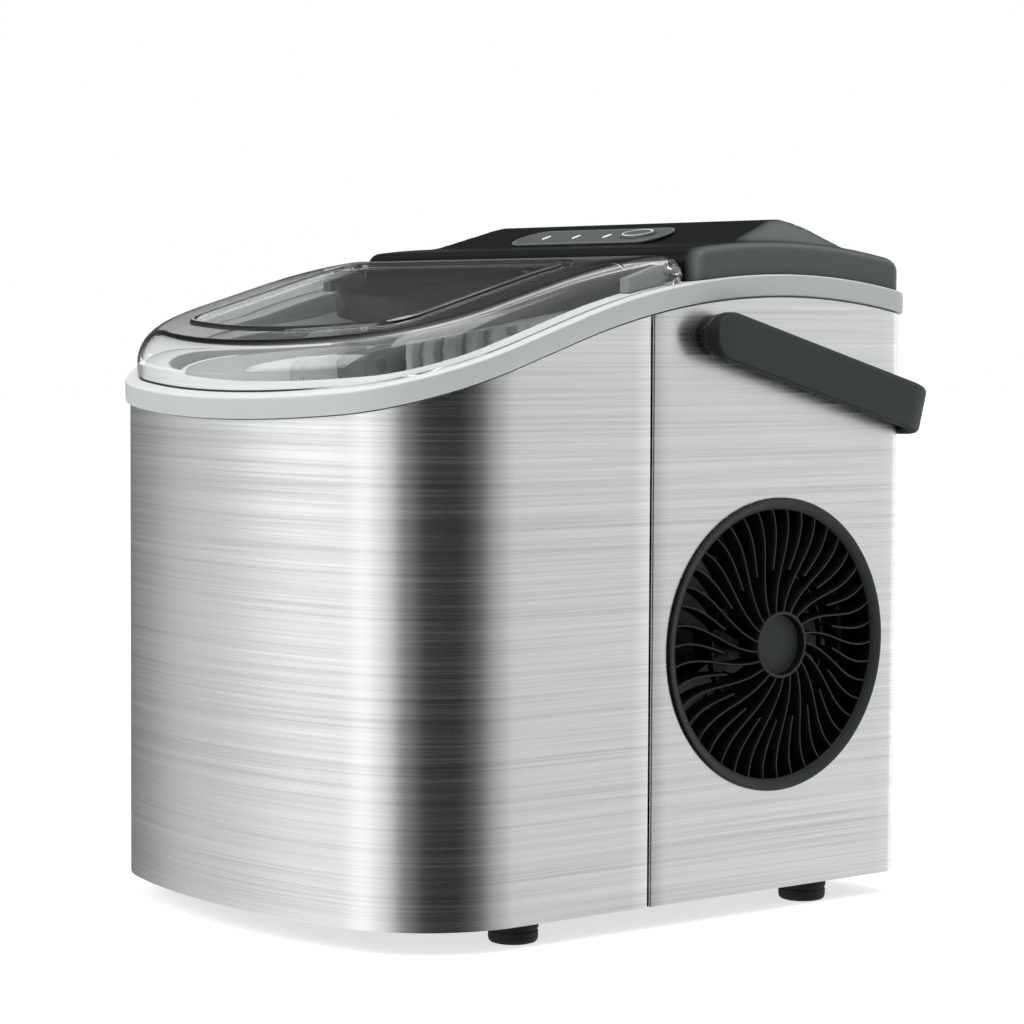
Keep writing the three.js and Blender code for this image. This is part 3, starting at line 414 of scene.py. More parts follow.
def new_node(tree, kind, inputs, **settings):
    """A shader node: each input is a value or another node's output."""
    node = tree.nodes.new("ShaderNode" + kind)
    for key, value in settings.items():
        setattr(node, key, value)
    for key, value in inputs.items():
        if isinstance(value, bpy.types.NodeSocket):
            tree.links.new(value, node.inputs[key])
        else:
            node.inputs[key].default_value = value
    return node


def noise(material, scale, detail=3.0, roughness=0.55):
    """A noise pattern in the piece's own coordinates; scale is per metre along X, Y and Z."""
    tree = material.node_tree
    coords = new_node(tree, "TexCoord", {})
    stretch = new_node(tree, "Mapping", {"Scale": scale, "Vector": coords.outputs["Object"]})
    pattern = new_node(tree, "TexNoise", {"Scale": 1, "Detail": detail, "Roughness": roughness,
                                          "Vector": stretch.outputs["Vector"]})
    return pattern.outputs["Fac"]


def ramp(tree, factor, stops, interpolation="LINEAR"):
    """Colours along a factor; stops are (position, grey or colour)."""
    node = new_node(tree, "ValToRGB", {"Fac": factor})
    node.color_ramp.interpolation = interpolation
    elements = node.color_ramp.elements
    while len(elements) < len(stops):
        elements.new(0.5)
    for element, (position, colour) in zip(elements, stops):
        element.position = position
        shade = colour if isinstance(colour, tuple) else (colour, colour, colour)
        element.color = (*shade, 1)
    return node.outputs["Color"]


def calculate(tree, operation, first, second):
    return new_node(tree, "Math", {0: first, 1: second}, operation=operation).outputs["Value"]


def bump(material, shader, height, strength, distance):
    tree = material.node_tree
    node = new_node(tree, "Bump", {"Strength": strength, "Distance": distance * MM, "Height": height})
    tree.links.new(node.outputs["Normal"], shader.inputs["Normal"])


def plastic(name, colour, roughness, grain=0.0, mottle=0.04, grain_scale=1800, specular=0.5):
    """Moulded plastic: a slight unevenness of colour and an optional fine grain."""
    material, shader = new_material(name, colour, roughness, specular=specular)
    low = tuple(channel * (1 - mottle) for channel in colour)
    high = tuple(min(channel * (1 + mottle), 1) for channel in colour)
    tree = material.node_tree
    shade = ramp(tree, noise(material, (35, 35, 35)), [(0.3, low), (0.7, high)])
    tree.links.new(shade, shader.inputs["Base Color"])
    if grain:
        bump(material, shader, noise(material, (grain_scale,) * 3, 2), grain, 0.05)
    return material


def painted_shade_plastic(name, roughness, axis, stops, specular=0.5, grain=0.0):
    """Moulding with painted light and shade: paler on the faces that look sideways (axis X) or up (axis Z)
    than on the others, standing in for the light that falls on those faces.
    """
    material, shader = new_material(name, stops[-1][1], roughness, specular=specular)
    tree = material.node_tree
    coords = new_node(tree, "TexCoord", {})
    split = new_node(tree, "SeparateXYZ", {"Vector": coords.outputs["Normal"]})
    size = calculate(tree, "ABSOLUTE" if axis == "X" else "MAXIMUM", split.outputs[axis], 0)
    tree.links.new(ramp(tree, size, stops), shader.inputs["Base Color"])
    if grain:
        bump(material, shader, noise(material, (2200,) * 3, 2), grain, 0.05)
    return material


def brushed_steel():
    """Stainless sheet brushed along the horizontal: long streaks in tone and in gloss."""
    material, shader = new_material("brushed_steel", (0.85, 0.86, 0.86), 0.3, 1.0)
    tree = material.node_tree
    links = tree.links
    fine = noise(material, (7, 7, 1300), 3, 0.6)
    coarse = noise(material, (4, 4, 480), 3, 0.6)
    streaks = calculate(tree, "MULTIPLY", calculate(tree, "ADD", fine, coarse), 0.5)
    shade = ramp(tree, streaks, [(0.32, (0.7, 0.72, 0.72)), (0.5, (0.87, 0.885, 0.885)),
                                 (0.68, (0.97, 0.97, 0.97))])
    gloss = ramp(tree, streaks, [(0.35, 0.23), (0.5, 0.26), (0.68, 0.34)])
    links.new(shade, shader.inputs["Base Color"])
    links.new(gloss, shader.inputs["Roughness"])
    shader.inputs["Anisotropic"].default_value = 0.7
    shader.inputs["Anisotropic Rotation"].default_value = 0.25
    tangent = new_node(tree, "Tangent", {}, direction_type="RADIAL", axis="Z")
    links.new(tangent.outputs["Tangent"], shader.inputs["Tangent"])
    bump(material, shader, fine, 0.12, 0.02)
    return material


def clear_plastic(name, tint, roughness):
    """Clear moulding that refracts, and lets light through to what is under it."""
    material, shader = new_material(name, tint, roughness)
    shader.inputs["Transmission Weight"].default_value = 1
    shader.inputs["IOR"].default_value = 1.49
    tree = material.node_tree
    through = new_node(tree, "BsdfTransparent", {"Color": (0.98, 0.985, 0.985, 1)})
    path = new_node(tree, "LightPath", {})
    mix = new_node(tree, "MixShader", {"Fac": path.outputs["Is Shadow Ray"], 1: shader.outputs["BSDF"],
                                       2: through.outputs["BSDF"]})
    tree.links.new(mix.outputs["Shader"], tree.nodes["Material Output"].inputs["Surface"])
    return material


def metal(name, colour, roughness, scale):
    """Bare metal with a slightly uneven polish."""
    material, shader = new_material(name, colour, roughness, 1.0)
    tree = material.node_tree
    gloss = ramp(tree, noise(material, scale), [(0.3, roughness * 0.8), (0.7, roughness * 1.25)])
    tree.links.new(gloss, shader.inputs["Roughness"])
    return material


STEEL = brushed_steel()
# Painted shade: the band is paler on the faces that look up and darker on its sides, standing in for the
# light from above.
BAND = painted_shade_plastic("band_plastic_painted_shade", 0.45, "Z", [(0.35, (0.4, 0.42, 0.42)), (0.75, (0.66, 0.67, 0.67))],
                      grain=0.05)
CLEAR = clear_plastic("clear_lid_plastic", (0.97, 0.985, 0.98), 0.0)
GLOSS = plastic("cover_plastic", (0.008, 0.009, 0.009), 0.2, mottle=0.05)
# Painted shade: the housing is near black on top and a lighter grey on the faces that lean sideways, standing
# in for the light from the side.
HOUSING = painted_shade_plastic("housing_plastic_painted_shade", 0.28, "X", [
    (0.1, (0.003, 0.0035, 0.0035)), (0.4, (0.05, 0.056, 0.056)), (0.72, (0.125, 0.14, 0.14)),
    (0.97, (0.08, 0.09, 0.09))], 0.06)
# Painted shade: the grille's faces that look sideways are a little paler than the rest, standing in for the
# light on them.
GRILLE = painted_shade_plastic("grille_plastic_painted_shade", 0.5, "X", [
    (0.55, (0.002, 0.002, 0.002)), (0.9, (0.026, 0.03, 0.03))], 0.25, grain=0.1)
MARK_GREY = plastic("panel_line", (0.3, 0.32, 0.32), 0.4)
FROSTED = plastic("frosted_metal", (0.74, 0.77, 0.78), 0.5, grain=0.3, grain_scale=900)
# Painted shade: the handle is paler on the faces that look sideways and darker on its edges and ends,
# standing in for the light on them.
HANDLE = painted_shade_plastic("handle_plastic_painted_shade", 0.6, "X", [
    (0.4, (0.008, 0.01, 0.01)), (0.9, (0.024, 0.034, 0.034))], 0.3, grain=0.35)
FAN_GREY = plastic("fan_plastic", (0.14, 0.15, 0.15), 0.5, grain=0.1)
BLACK = plastic("black_plastic", (0.012, 0.013, 0.013), 0.45, grain=0.1)
SLATE = plastic("slate_plastic", (0.032, 0.043, 0.043), 0.55, grain=0.35, grain_scale=2600)
RUBBER = plastic("rubber", (0.008, 0.008, 0.008), 0.75, grain=0.3)
TANK = plastic("tank_plastic", (0.84, 0.86, 0.86), 0.45, grain=0.05, mottle=0.01)
# Painted shade: black foam for the pads behind the vent slots.
VENT_SHADE_FOAM = plastic("vent_shade_foam", (0.006, 0.006, 0.006), 0.95, grain=0.8, grain_scale=900)
FOAM = plastic("foam", (0.82, 0.8, 0.72), 0.9, grain=0.8, grain_scale=700)
PANEL_GREY = plastic("panel_grey", (0.085, 0.095, 0.095), 0.35, grain=0.05, specular=0.3)
PALE_MARK = plastic("pale_marking", (0.78, 0.8, 0.8), 0.5)
GREY = plastic("grey_plastic", (0.17, 0.18, 0.18), 0.45, grain=0.1)
BOARD = plastic("circuit_board", (0.01, 0.09, 0.035), 0.4, mottle=0.25)
COPPER = metal("copper", (0.85, 0.42, 0.26), 0.3, (60, 60, 60))
ALUMINIUM = metal("aluminium", (0.78, 0.79, 0.8), 0.35, (90, 90, 900))
PAINT = plastic("compressor_paint", (0.015, 0.015, 0.016), 0.35, grain=0.2, grain_scale=500)
HOSE = clear_plastic("hose_silicone", (0.9, 0.93, 0.93), 0.25)


# ---- Casing ----

def front_wrap():
    """The front sheet: its rear edges are rolled in where they meet the side panels."""
    roll = SEAM_ROLL
    flat = [(HALF_WIDTH, y) for y in spread(CORNER_Y, SEAM_Y - roll, 8)[1:]]
    turn = [(HALF_WIDTH - roll + roll * math.cos(a), SEAM_Y - roll + roll * math.sin(a))
            for a in map(math.radians, (30, 60, 90))]
    right = half_front(0) + flat + turn
    inner_x = HALF_WIDTH - SHEET
    inner = half_front(SHEET) + [(inner_x, y) for x, y in flat] + [(inner_x, y) for x, y in turn]
    outer = [(-x, y) for x, y in reversed(right[1:])] + right
    inside = [(-x, y) for x, y in reversed(inner[1:])] + inner
    wall = sheet_wall("front_wrap_sheet", outer, inside, PANEL_BOTTOM, lambda y: band_bottom(y) - SHADOW_GAP)
    finish_piece(wall, STEEL, "cabinet", "steel", "front_wrap")


def side_sheet(name, side):
    """A side panel: it starts with a rolled edge at the seam and turns the rear corner."""
    roll = SEAM_ROLL
    turn = [(HALF_WIDTH - roll + roll * math.cos(a), SIDE_FRONT_Y + roll - roll * math.sin(a))
            for a in map(math.radians, (90, 60, 30))]
    flat = [(HALF_WIDTH, y) for y in spread(SIDE_FRONT_Y + roll, REAR_Y - REAR_CORNER_RADIUS, 16)]
    corner = (HALF_WIDTH - REAR_CORNER_RADIUS, REAR_Y - REAR_CORNER_RADIUS)
    outer = turn + flat + arc(*corner, REAR_CORNER_RADIUS, 0, 90, 10)[1:] + [(REAR_WRAP_X, REAR_Y)]
    inner = [(HALF_WIDTH - SHEET, y) for x, y in turn + flat]
    inner += arc(*corner, REAR_CORNER_RADIUS - SHEET, 0, 90, 10)[1:] + [(REAR_WRAP_X, REAR_Y - SHEET)]
    if side < 0:
        outer, inner = [(-x, y) for x, y in outer], [(-x, y) for x, y in inner]
    return sheet_wall(name, outer, inner, PANEL_BOTTOM, lambda y: band_bottom(y) - SHADOW_GAP)


def side_hole(outline, side):
    """A cutter that passes through one side panel."""
    low, high = (108, 116) if side > 0 else (-116, -108)
    return prism("hole", outline, "X", low, high)


def side_panels():
    handle_hole = ellipse(PIVOT_Y, PIVOT_Z, PIVOT_HOLE_RADIUS, PIVOT_HOLE_RADIUS)
    grille_hole = ellipse(FAN_Y, FAN_Z, GRILLE_HOLE_RADIUS, GRILLE_HOLE_RADIUS, 96)
    right = side_sheet("right_side_sheet", 1)
    carve(right, side_hole(grille_hole, 1), side_hole(handle_hole, 1))
    finish_piece(right, STEEL, "cabinet", "steel", "right_side_panel")
    left = side_sheet("left_side_sheet", -1)
    slots = [side_hole(rounded_rectangle(y, z, 3.6, 36, 1.75), -1) for y, z in SIDE_SLOTS]
    carve(left, side_hole(handle_hole, -1), *slots)
    finish_piece(left, STEEL, "cabinet", "steel", "left_side_panel")


def dark_backings():
    """Black strips behind the two seams and black foam pads behind the vent slots: painted shade, dark pieces
    that stand in for the shade inside the gaps and openings.
    """
    for label, side in (("right", 1), ("left", -1)):
        low, high = sorted((side * 109.4, side * 108.6))
        # Painted shade: a black strip behind the seam, so that the gap reads as a shadowed line.
        strip = prism(f"seam_backing_{label}", [(-16, 12), (-5, 12), (-5, 238), (-16, 236)], "X", low, high)
        finish_piece(soften(strip, 0.3), RUBBER, "cabinet", "black")
    # Painted shade: black foam pads behind the slots, standing in for the shade inside the casing.
    left_shade_pad = prism("vent_shade_pad_left", rounded_rectangle(60, 95, 88, 92, 4), "X", -110.4, -109.4)
    rear_shade_pad = prism("vent_shade_pad_rear", rounded_rectangle(0, 150, 134, 72, 4), "Y", 128.4, 129.4)
    for pad in (left_shade_pad, rear_shade_pad):
        finish_piece(soften(pad, 0.3), VENT_SHADE_FOAM, "cabinet", "black")


def top_frame():
    """The pale trim band with its flat ledge, and the recessed bridge under the hinge line."""
    # Distance in from the casing's outline and height above the band's lower edge.
    low, high, ledge = 0.8, 1.2, LEDGE_INSET
    profile = (
        [(-BAND_PROUD + low, 0)]
        + [(-BAND_PROUD + low - low * math.sin(a), low - low * math.cos(a)) for a in quarter(3)]
        + [(-BAND_PROUD + high - high * math.cos(a), BAND_HEIGHT - high + high * math.sin(a))
           for a in quarter(5)]
        + [(ledge - 1 + math.sin(a), BAND_HEIGHT - 1 + math.cos(a)) for a in quarter(4)]
        + [(ledge, 0), (3.8, 0), (3.8, -5), (2.6, -5), (2.6, 0)]
    )
    lines = [casing_outline(inset) for inset, height in profile]
    rings = [
        [(*line[i], band_bottom(line[i][1]) + height) for line, (inset, height) in zip(lines, profile)]
        for i in range(len(lines[0]))
    ]
    band = rings_to_mesh("band", rings, closed_path=True)
    half = HALF_WIDTH - LEDGE_INSET + 0.2
    side = (
        [(y, band_bottom(y)) for y in spread(24, COMPARTMENT_REAR, 10)]
        + [(y, band_bottom(y) + BAND_HEIGHT - 3) for y in spread(COMPARTMENT_REAR, 24, 10)]
    )
    bridge = soften(prism("bridge", side, "X", -half, half), 0.8, 3, 50)
    finish_piece(bridge, BAND, "cabinet", "band")
    finish_piece(band, BAND, "cabinet", "band", "top_frame")


def quarter(steps):
    """Angles from 0 to a right angle, in radians."""
    return spread(0, math.pi / 2, steps)


def rear_panel():
    """The black rear panel with its rows of vent slots and the holes for the inlet, drain and screws."""
    half = REAR_WRAP_X - GAP
    top = band_bottom(REAR_Y) - GAP
    outline = [(-half, PANEL_BOTTOM), (half, PANEL_BOTTOM), (half, top), (-half, top)]
    panel = prism("rear_panel_plate", outline, "Y", REAR_Y - 2, REAR_Y)
    outlines = [rounded_rectangle(x, z, 6, 62, 2.9) for x, z in REAR_SLOTS]
    outlines += [ellipse(*CORD_INLET, 6.3, 6.3), ellipse(*DRAIN, 7.3, 7.3)]
    outlines += [ellipse(x, z, 2, 2, 24) for x, z in sorted(REAR_SCREWS)]
    cutters = [prism("hole", outline, "Y", REAR_Y - 4, REAR_Y + 4) for outline in outlines]
    carve(panel, *cutters)
    soften(panel, 0.4, 3, 50)
    finish_piece(panel, BLACK, "cabinet", "black", "rear_panel")


def feet():
    profile = [(0.5, 0), (7.6, 0), (8.9, 0.4), (9.6, 1.2), (9.8, 2.4), (9.8, 4.6), (9.5, 5), (9.5, 5.5),
               (9.9, 5.9), (10, 6.4), (10, 8.7), (9.7, 9), (0.5, 9)]
    for x, y, name in ((96, -67, "front_right"), (-96, -67, "front_left"),
                       (98, 88, "rear_right"), (-98, 88, "rear_left")):
        foot = lathe(f"rubber_foot_{name}", profile, "Z", (x, y), 48)
        finish_piece(foot, RUBBER, "cabinet", "rubber", f"foot_{name}")


# ---- Top housing and controls ----

def crown_height(y):
    """The raised middle of the housing along its centre line, a smooth curve through CROWN_LINE."""
    points = CROWN_LINE
    y = clamp(y, points[0][0], points[-1][0])
    at = max(i for i in range(len(points) - 1) if points[i][0] <= y)
    before, start, end, after = (points[clamp_index(at + step, points)] for step in (-1, 0, 1, 2))
    width = end[0] - start[0]
    t = (y - start[0]) / width
    rise_in = (end[1] - before[1]) / (end[0] - before[0]) * width
    rise_out = (after[1] - start[1]) / (after[0] - start[0]) * width
    return ((2 * t**3 - 3 * t**2 + 1) * start[1] + (t**3 - 2 * t**2 + t) * rise_in
            + (3 * t**2 - 2 * t**3) * end[1] + (t**3 - t**2) * rise_out)


def clamp_index(index, items):
    return max(0, min(len(items) - 1, index))


def housing_height(x, y, edge):
    """Top surface of the housing; edge is the distance in from the outline."""
    fall = 5 * (1 - math.sqrt(max(0.0, 1 - (1 - clamp(edge / 5)) ** 2)))
    shoulder = band_bottom(y) + SHOULDER - fall
    flank = CREST_TOP - (abs(x) - CREST_HALF_WIDTH) * (CREST_TOP - FLANK_FOOT_Z) / FLANK_WIDTH
    crown = smooth_min(crown_height(y), flank, 1.2)
    height = smooth_max(shoulder, min(crown, CREST_TOP - 1), 0.6) if edge > 0.5 else shoulder
    near_rear = clamp(1 - (HOUSING_REAR - y) / REAR_ROUNDING)
    rear_top = band_bottom(y) + SHOULDER - REAR_ROUNDING * (1 - math.sqrt(1 - near_rear**2))
    return min(height, rear_top) if near_rear > 0 else height


def housing_point(u, v):
    """Plan position for u, v from -1 to 1, and its distance from the outline's edge."""
    centre_y = (HOUSING_FRONT + HOUSING_REAR) / 2
    half_x, half_y = HOUSING_HALF_WIDTH, (HOUSING_REAR - HOUSING_FRONT) / 2
    x, y = u * half_x, v * half_y
    corner = REAR_CORNER_RADIUS
    over_x, over_y = (abs(x) - half_x + corner) / corner, (abs(y) - half_y + corner) / corner
    if over_x > 0 and over_y > 0:
        round_x = over_x * math.sqrt(1 - over_y**2 / 2)
        round_y = over_y * math.sqrt(1 - over_x**2 / 2)
        x = math.copysign(half_x - corner + corner * round_x, x)
        y = math.copysign(half_y - corner + corner * round_y, y)
        edge = corner * (1 - math.hypot(round_x, round_y))
    else:
        edge = min(half_x - abs(x), half_y - abs(y))
    return x, y + centre_y, max(edge, 0)


def eased(steps, half):
    """Numbers from -1 to 1 that crowd together near both ends, for a side of that half length."""
    near = [0, 0.25, 0.6, 1.1, 1.8, 2.8, 4, 5.5, 8]
    inner = spread(-half + 8, half - 8, steps)[1:-1]
    whole = [-half + d for d in near] + inner + [half - d for d in reversed(near)]
    return [value / half for value in whole]


def top_housing():
    us = eased(120, HOUSING_HALF_WIDTH)
    vs = eased(70, (HOUSING_REAR - HOUSING_FRONT) / 2)
    vertices, faces = [], []
    for v in vs:
        for u in us:
            x, y, edge = housing_point(u, v)
            vertices.append((x, y, housing_height(x, y, edge)))
    width = len(us)
    for row in range(len(vs) - 1):
        for column in range(width - 1):
            a = row * width + column
            faces.append((a, a + 1, a + width + 1, a + width))
    last = len(vs) - 1
    rim = (list(range(width)) + [row * width + width - 1 for row in range(1, last + 1)]
           + [last * width + column for column in range(width - 2, -1, -1)]
           + [row * width for row in range(last - 1, 0, -1)])
    foot = len(vertices)
    edge_points = [vertices[i][:2] for i in rim]
    vertices += [(x, y, band_bottom(y) + BAND_HEIGHT + GAP) for x, y in edge_points]
    for i in range(len(rim)):
        j = (i + 1) % len(rim)
        faces.append((rim[i], rim[j], foot + j, foot + i))
    shell = new_object("top_housing_shell", vertices, faces, 40)
    thick = shell.modifiers.new("wall", "SOLIDIFY")
    thick.thickness = 2.2 * MM
    thick.offset = -1
    carve(shell, on_panel(prism("hole", ellipse(BUTTON_X, 0, *BUTTON_HOLE_RADII), "Z", -8, 8)))
    finish_piece(shell, HOUSING, "cabinet", "gloss", "top_housing")


def on_panel(obj):
    """Puts a piece made flat around the origin onto the sloping control panel."""
    tilt = Matrix.Rotation(math.radians(PANEL_TILT), 4, "X")
    obj.data.transform(Matrix.Translation(Vector((0, PANEL_Y, PANEL_Z)) * MM) @ tilt)
    return obj


def outline_band(name, outline, inner, low, high):
    """A flat ring between two outlines with the same number of points."""
    rings = [[(*outer_point, low), (*outer_point, high), (*inner_point, high), (*inner_point, low)]
             for outer_point, inner_point in zip(outline, inner)]
    return rings_to_mesh(name, rings, closed_path=True)


def controls():
    plate = prism("plate", rounded_rectangle(0, 0, PANEL_WIDTH, PANEL_DEPTH, PANEL_CORNER, 10), "Z", GAP, 1.1)
    holes = [prism("hole", ellipse(BUTTON_X, 0, *BUTTON_HOLE_RADII), "Z", -1, 3)]
    radius_x, radius_y = INDICATOR_RADII
    holes += [prism("hole", ellipse(x, 0, radius_x + 0.3, radius_y + 0.3, 32), "Z", -1, 3)
              for x in INDICATOR_XS]
    carve(plate, *holes)
    soften(on_panel(plate), 0.15, 2, 50)
    finish_piece(plate, PANEL_GREY, "cabinet", "grey", "control_overlay")
    border = outline_band(
        "control_overlay_border",
        rounded_rectangle(0, 0, PANEL_WIDTH - 0.6, PANEL_DEPTH - 0.6, PANEL_CORNER - 0.3, 10),
        rounded_rectangle(0, 0, PANEL_WIDTH - 1.3, PANEL_DEPTH - 1.3, PANEL_CORNER - 0.65, 10), 1.05, 1.16)
    finish_piece(on_panel(border), MARK_GREY, "cabinet", "grey")
    for number, x in enumerate(INDICATOR_XS, 1):
        profile = [(1, GAP + 0.1), (1, 0.95), (0.92, 1.15), (0.75, 1.27), (0.4, 1.3)]
        rings = [[(x0, y0, z) for x0, y0 in ellipse(x, 0, radius_x * scale, radius_y * scale, 32)]
                 for scale, z in profile]
        lens = on_panel(rings_to_mesh(f"indicator_window_{number}", rings))
        finish_piece(lens, PALE_MARK, "cabinet", "clear", f"indicator_lens_{number}")
    radius_x, radius_y = BUTTON_RADII
    dome = [(0, -2.7), (0, 1.5), (0.35, 2.05), (0.9, 2.25), (1.8, 2.3), (3.2, 2.16), (4.6, 2.1)]
    rings = [[(x0, y0, z) for x0, y0 in ellipse(BUTTON_X, 0, radius_x - inset, radius_y - inset)]
             for inset, z in dome]
    button = on_panel(rings_to_mesh("power_button_cap", rings))
    finish_piece(button, PANEL_GREY, "power_button", "grey", "power_button")
    ring = outline_band("power_button_ring", ellipse(BUTTON_X, 0, radius_x - 0.7, radius_y - 0.7),
                        ellipse(BUTTON_X, 0, radius_x - 1.4, radius_y - 1.4), 2.1, 2.3)
    finish_piece(on_panel(ring), PALE_MARK, "power_button", "grey")


# ---- Lid ----

LID_CENTRE_Y = -62
LID_STEPS = 200


def lid_top(y):
    return band_bottom(y) + LID_RISE + LID_FRONT_EXTRA * clamp(y / WINDOW_FRONT)


def rear_round(y, z, radius):
    """Keeps a point inside the half round about the hinge, so that the lid turns without lifting."""
    if y <= LID_AXIS_Y - LID_REAR_BLEND:
        return z
    reach = math.sqrt(max(radius**2 - max(y - LID_AXIS_Y, 0) ** 2, 0))
    blend = clamp((y - LID_AXIS_Y + LID_REAR_BLEND) / LID_REAR_BLEND)
    blend = blend * blend * (3 - 2 * blend)
    top = LID_AXIS_Z + reach + (1 - blend) * 6
    low = LID_AXIS_Z - reach if y > LID_AXIS_Y else 0
    return max(min(z, top), low)


def even_angles(outline):
    """The outline's points at evenly spaced directions from the lid's centre."""
    polar = sorted((math.atan2(y - LID_CENTRE_Y, x), math.hypot(x, y - LID_CENTRE_Y)) for x, y in outline)
    first, last = polar[0], polar[-1]
    polar = [(last[0] - 2 * math.pi, last[1])] + polar + [(first[0] + 2 * math.pi, first[1])]
    result, k = [], 0
    for i in range(LID_STEPS):
        angle = -math.pi + 2 * math.pi * (i + 0.5) / LID_STEPS
        while polar[k + 1][0] < angle:
            k += 1
        (a0, r0), (a1, r1) = polar[k], polar[k + 1]
        p0 = (r0 * math.cos(a0), r0 * math.sin(a0))
        p1 = (r1 * math.cos(a1), r1 * math.sin(a1))
        cross = (p1[0] - p0[0]) * math.sin(angle) - (p1[1] - p0[1]) * math.cos(angle)
        t = (p0[1] * math.cos(angle) - p0[0] * math.sin(angle)) / cross if abs(cross) > 1e-9 else 0
        t = clamp(t)
        result.append((p0[0] + (p1[0] - p0[0]) * t, LID_CENTRE_Y + p0[1] + (p1[1] - p0[1]) * t))
    return result


def lid_ring(inset, height, radius):
    """A ring at an inset from the casing's outline; height gives z from y, radius is the rear edge's."""
    rear = LID_AXIS_Y + LID_REAR_RADIUS - (inset - LID_INSET)
    plan = even_angles(casing_outline(inset, rear))
    return [(x, y, rear_round(y, height(y), radius)) for x, y in plan]


def window_outline(shrink):
    """Rounded outline of the lid's raised bead: straight sides and a bowed front."""
    half = WINDOW_HALF_WIDTH - shrink
    bow = FRONT_RADIUS - 22 - shrink
    bow_y = WINDOW_FRONT + FRONT_RADIUS - 22
    fillet = 14 - shrink
    fillet_x = half - fillet
    lean = math.degrees(math.asin(fillet_x / (bow - fillet)))
    fillet_y = bow_y - (bow - fillet) * math.cos(math.radians(lean))
    rear = 8 - shrink * 0.6
    right = (arc(0, bow_y, bow, 270, 270 + lean, 10)
             + arc(fillet_x, fillet_y, fillet, 270 + lean, 360, 10)[1:]
             + [(half, y) for y in spread(fillet_y, WINDOW_REAR - shrink - rear, 8)[1:-1]]
             + arc(half - rear, WINDOW_REAR - shrink - rear, rear, 0, 90, 8))
    return right + [(-x, y) for x, y in reversed(right[1:])]


def window_ring(shrink, lift):
    return [(x, y, lid_top(y) + lift) for x, y in even_angles(window_outline(shrink))]


def shrunk_ring(ring, scale, drop=0):
    """The ring drawn in towards the lid's centre, on the top surface."""
    points = [(x * scale, LID_CENTRE_Y + (y - LID_CENTRE_Y) * scale) for x, y, _ in ring]
    return [(x, y, lid_top(y) - drop) for x, y in points]


def lid():
    """One shell: inner skin, base edge, rounded shoulder, raised bead and top."""
    rim_height = BAND_HEIGHT + GAP

    def skin(inset, radius, drop):
        """Base edge and shoulder of one skin, from the bottom up."""
        rear = LID_REAR_RADIUS - drop
        rings = [lid_ring(inset, lambda y: band_bottom(y) + rim_height, rear)]
        for share in (0.35, 0.7):
            rise = rim_height + share * (LID_RISE - rim_height - LID_SHOULDER + 0.5)
            rings.append(lid_ring(inset, lambda y, up=rise: band_bottom(y) + up, rear))
        for a in spread(0, math.pi / 2, 9):
            run = inset + radius * (1 - math.cos(a))
            fall = drop + radius * (1 - math.sin(a))
            rings.append(lid_ring(run, lambda y, f=fall: lid_top(y) - f, rear))
        return rings

    outer = skin(LID_INSET, LID_SHOULDER, 0)
    inner = skin(LID_INSET + LID_WALL, LID_SHOULDER - LID_WALL, LID_WALL)
    bead = [window_ring(BEAD_WIDTH * share, BEAD_HEIGHT * lift) for share, lift in
            ((0, 0), (0.03, 0.55), (0.14, 0.86), (0.32, 1), (0.68, 1), (0.86, 0.86), (0.97, 0.55), (1, 0))]
    top = [shrunk_ring(bead[-1], scale) for scale in (0.8, 0.55, 0.3, 0.08)]
    ceiling = [shrunk_ring(inner[-1], scale, LID_WALL) for scale in (0.08, 0.3, 0.55, 0.8)]
    rings = ceiling + inner[::-1] + outer + bead + top
    shell = rings_to_mesh("clear_lid", rings, smooth_angle=50)
    cutters = []
    for side in (-1, 1):
        x0, x1 = sorted(side * x for x in NOTCH_X)
        front, back = LID_AXIS_Y - 23, LID_AXIS_Y + 12
        notch = [(front, 240), (back, 240), (back, LID_AXIS_Z + 3.2), (front, LID_AXIS_Z + 1.7)]
        cutters.append(prism("notch", notch, "X", x0, x1))
        x0, x1 = sorted(side * x for x in PIN_HOLE_X)
        pin_hole = ellipse(LID_AXIS_Y, LID_AXIS_Z, PIN_HOLE_RADIUS, PIN_HOLE_RADIUS, 32)
        cutters.append(prism("pin_hole", pin_hole, "X", x0, x1))
    # The shell crosses itself along its lower rear edge. EXACT leaves nothing of it; FAST leaves it closed.
    carve(shell, *cutters, solver="FAST")
    finish_piece(shell, CLEAR, "lid", "clear", "lid")


# ---- Side grille and fan ----

def vane(start, inner_radius, steps):
    """One S-shaped vane, thinner at its outer edge."""
    outer_radius = GRILLE_BORE + 0.6
    rings = []
    for radius in spread(inner_radius, outer_radius, steps):
        along = (radius - HUB_RADIUS) / (GRILLE_BORE - HUB_RADIUS)
        angle = math.radians(start + VANE_TWIST * math.sin(math.radians(110 * along)))
        edge = GRILLE_DOME[1] + (GRILLE_DOME[0] - GRILLE_DOME[1]) * along
        ring = []
        for offset, x in ((-0.7, 104.2), (-0.5, edge - 0.4), (-0.25, edge), (0.25, edge), (0.5, edge - 0.4),
                          (0.7, 104.2)):
            turn = angle + offset / radius
            ring.append((x, FAN_Y + radius * math.cos(turn), FAN_Z + radius * math.sin(turn)))
        rings.append(ring)
    return rings_to_mesh("vane", rings)


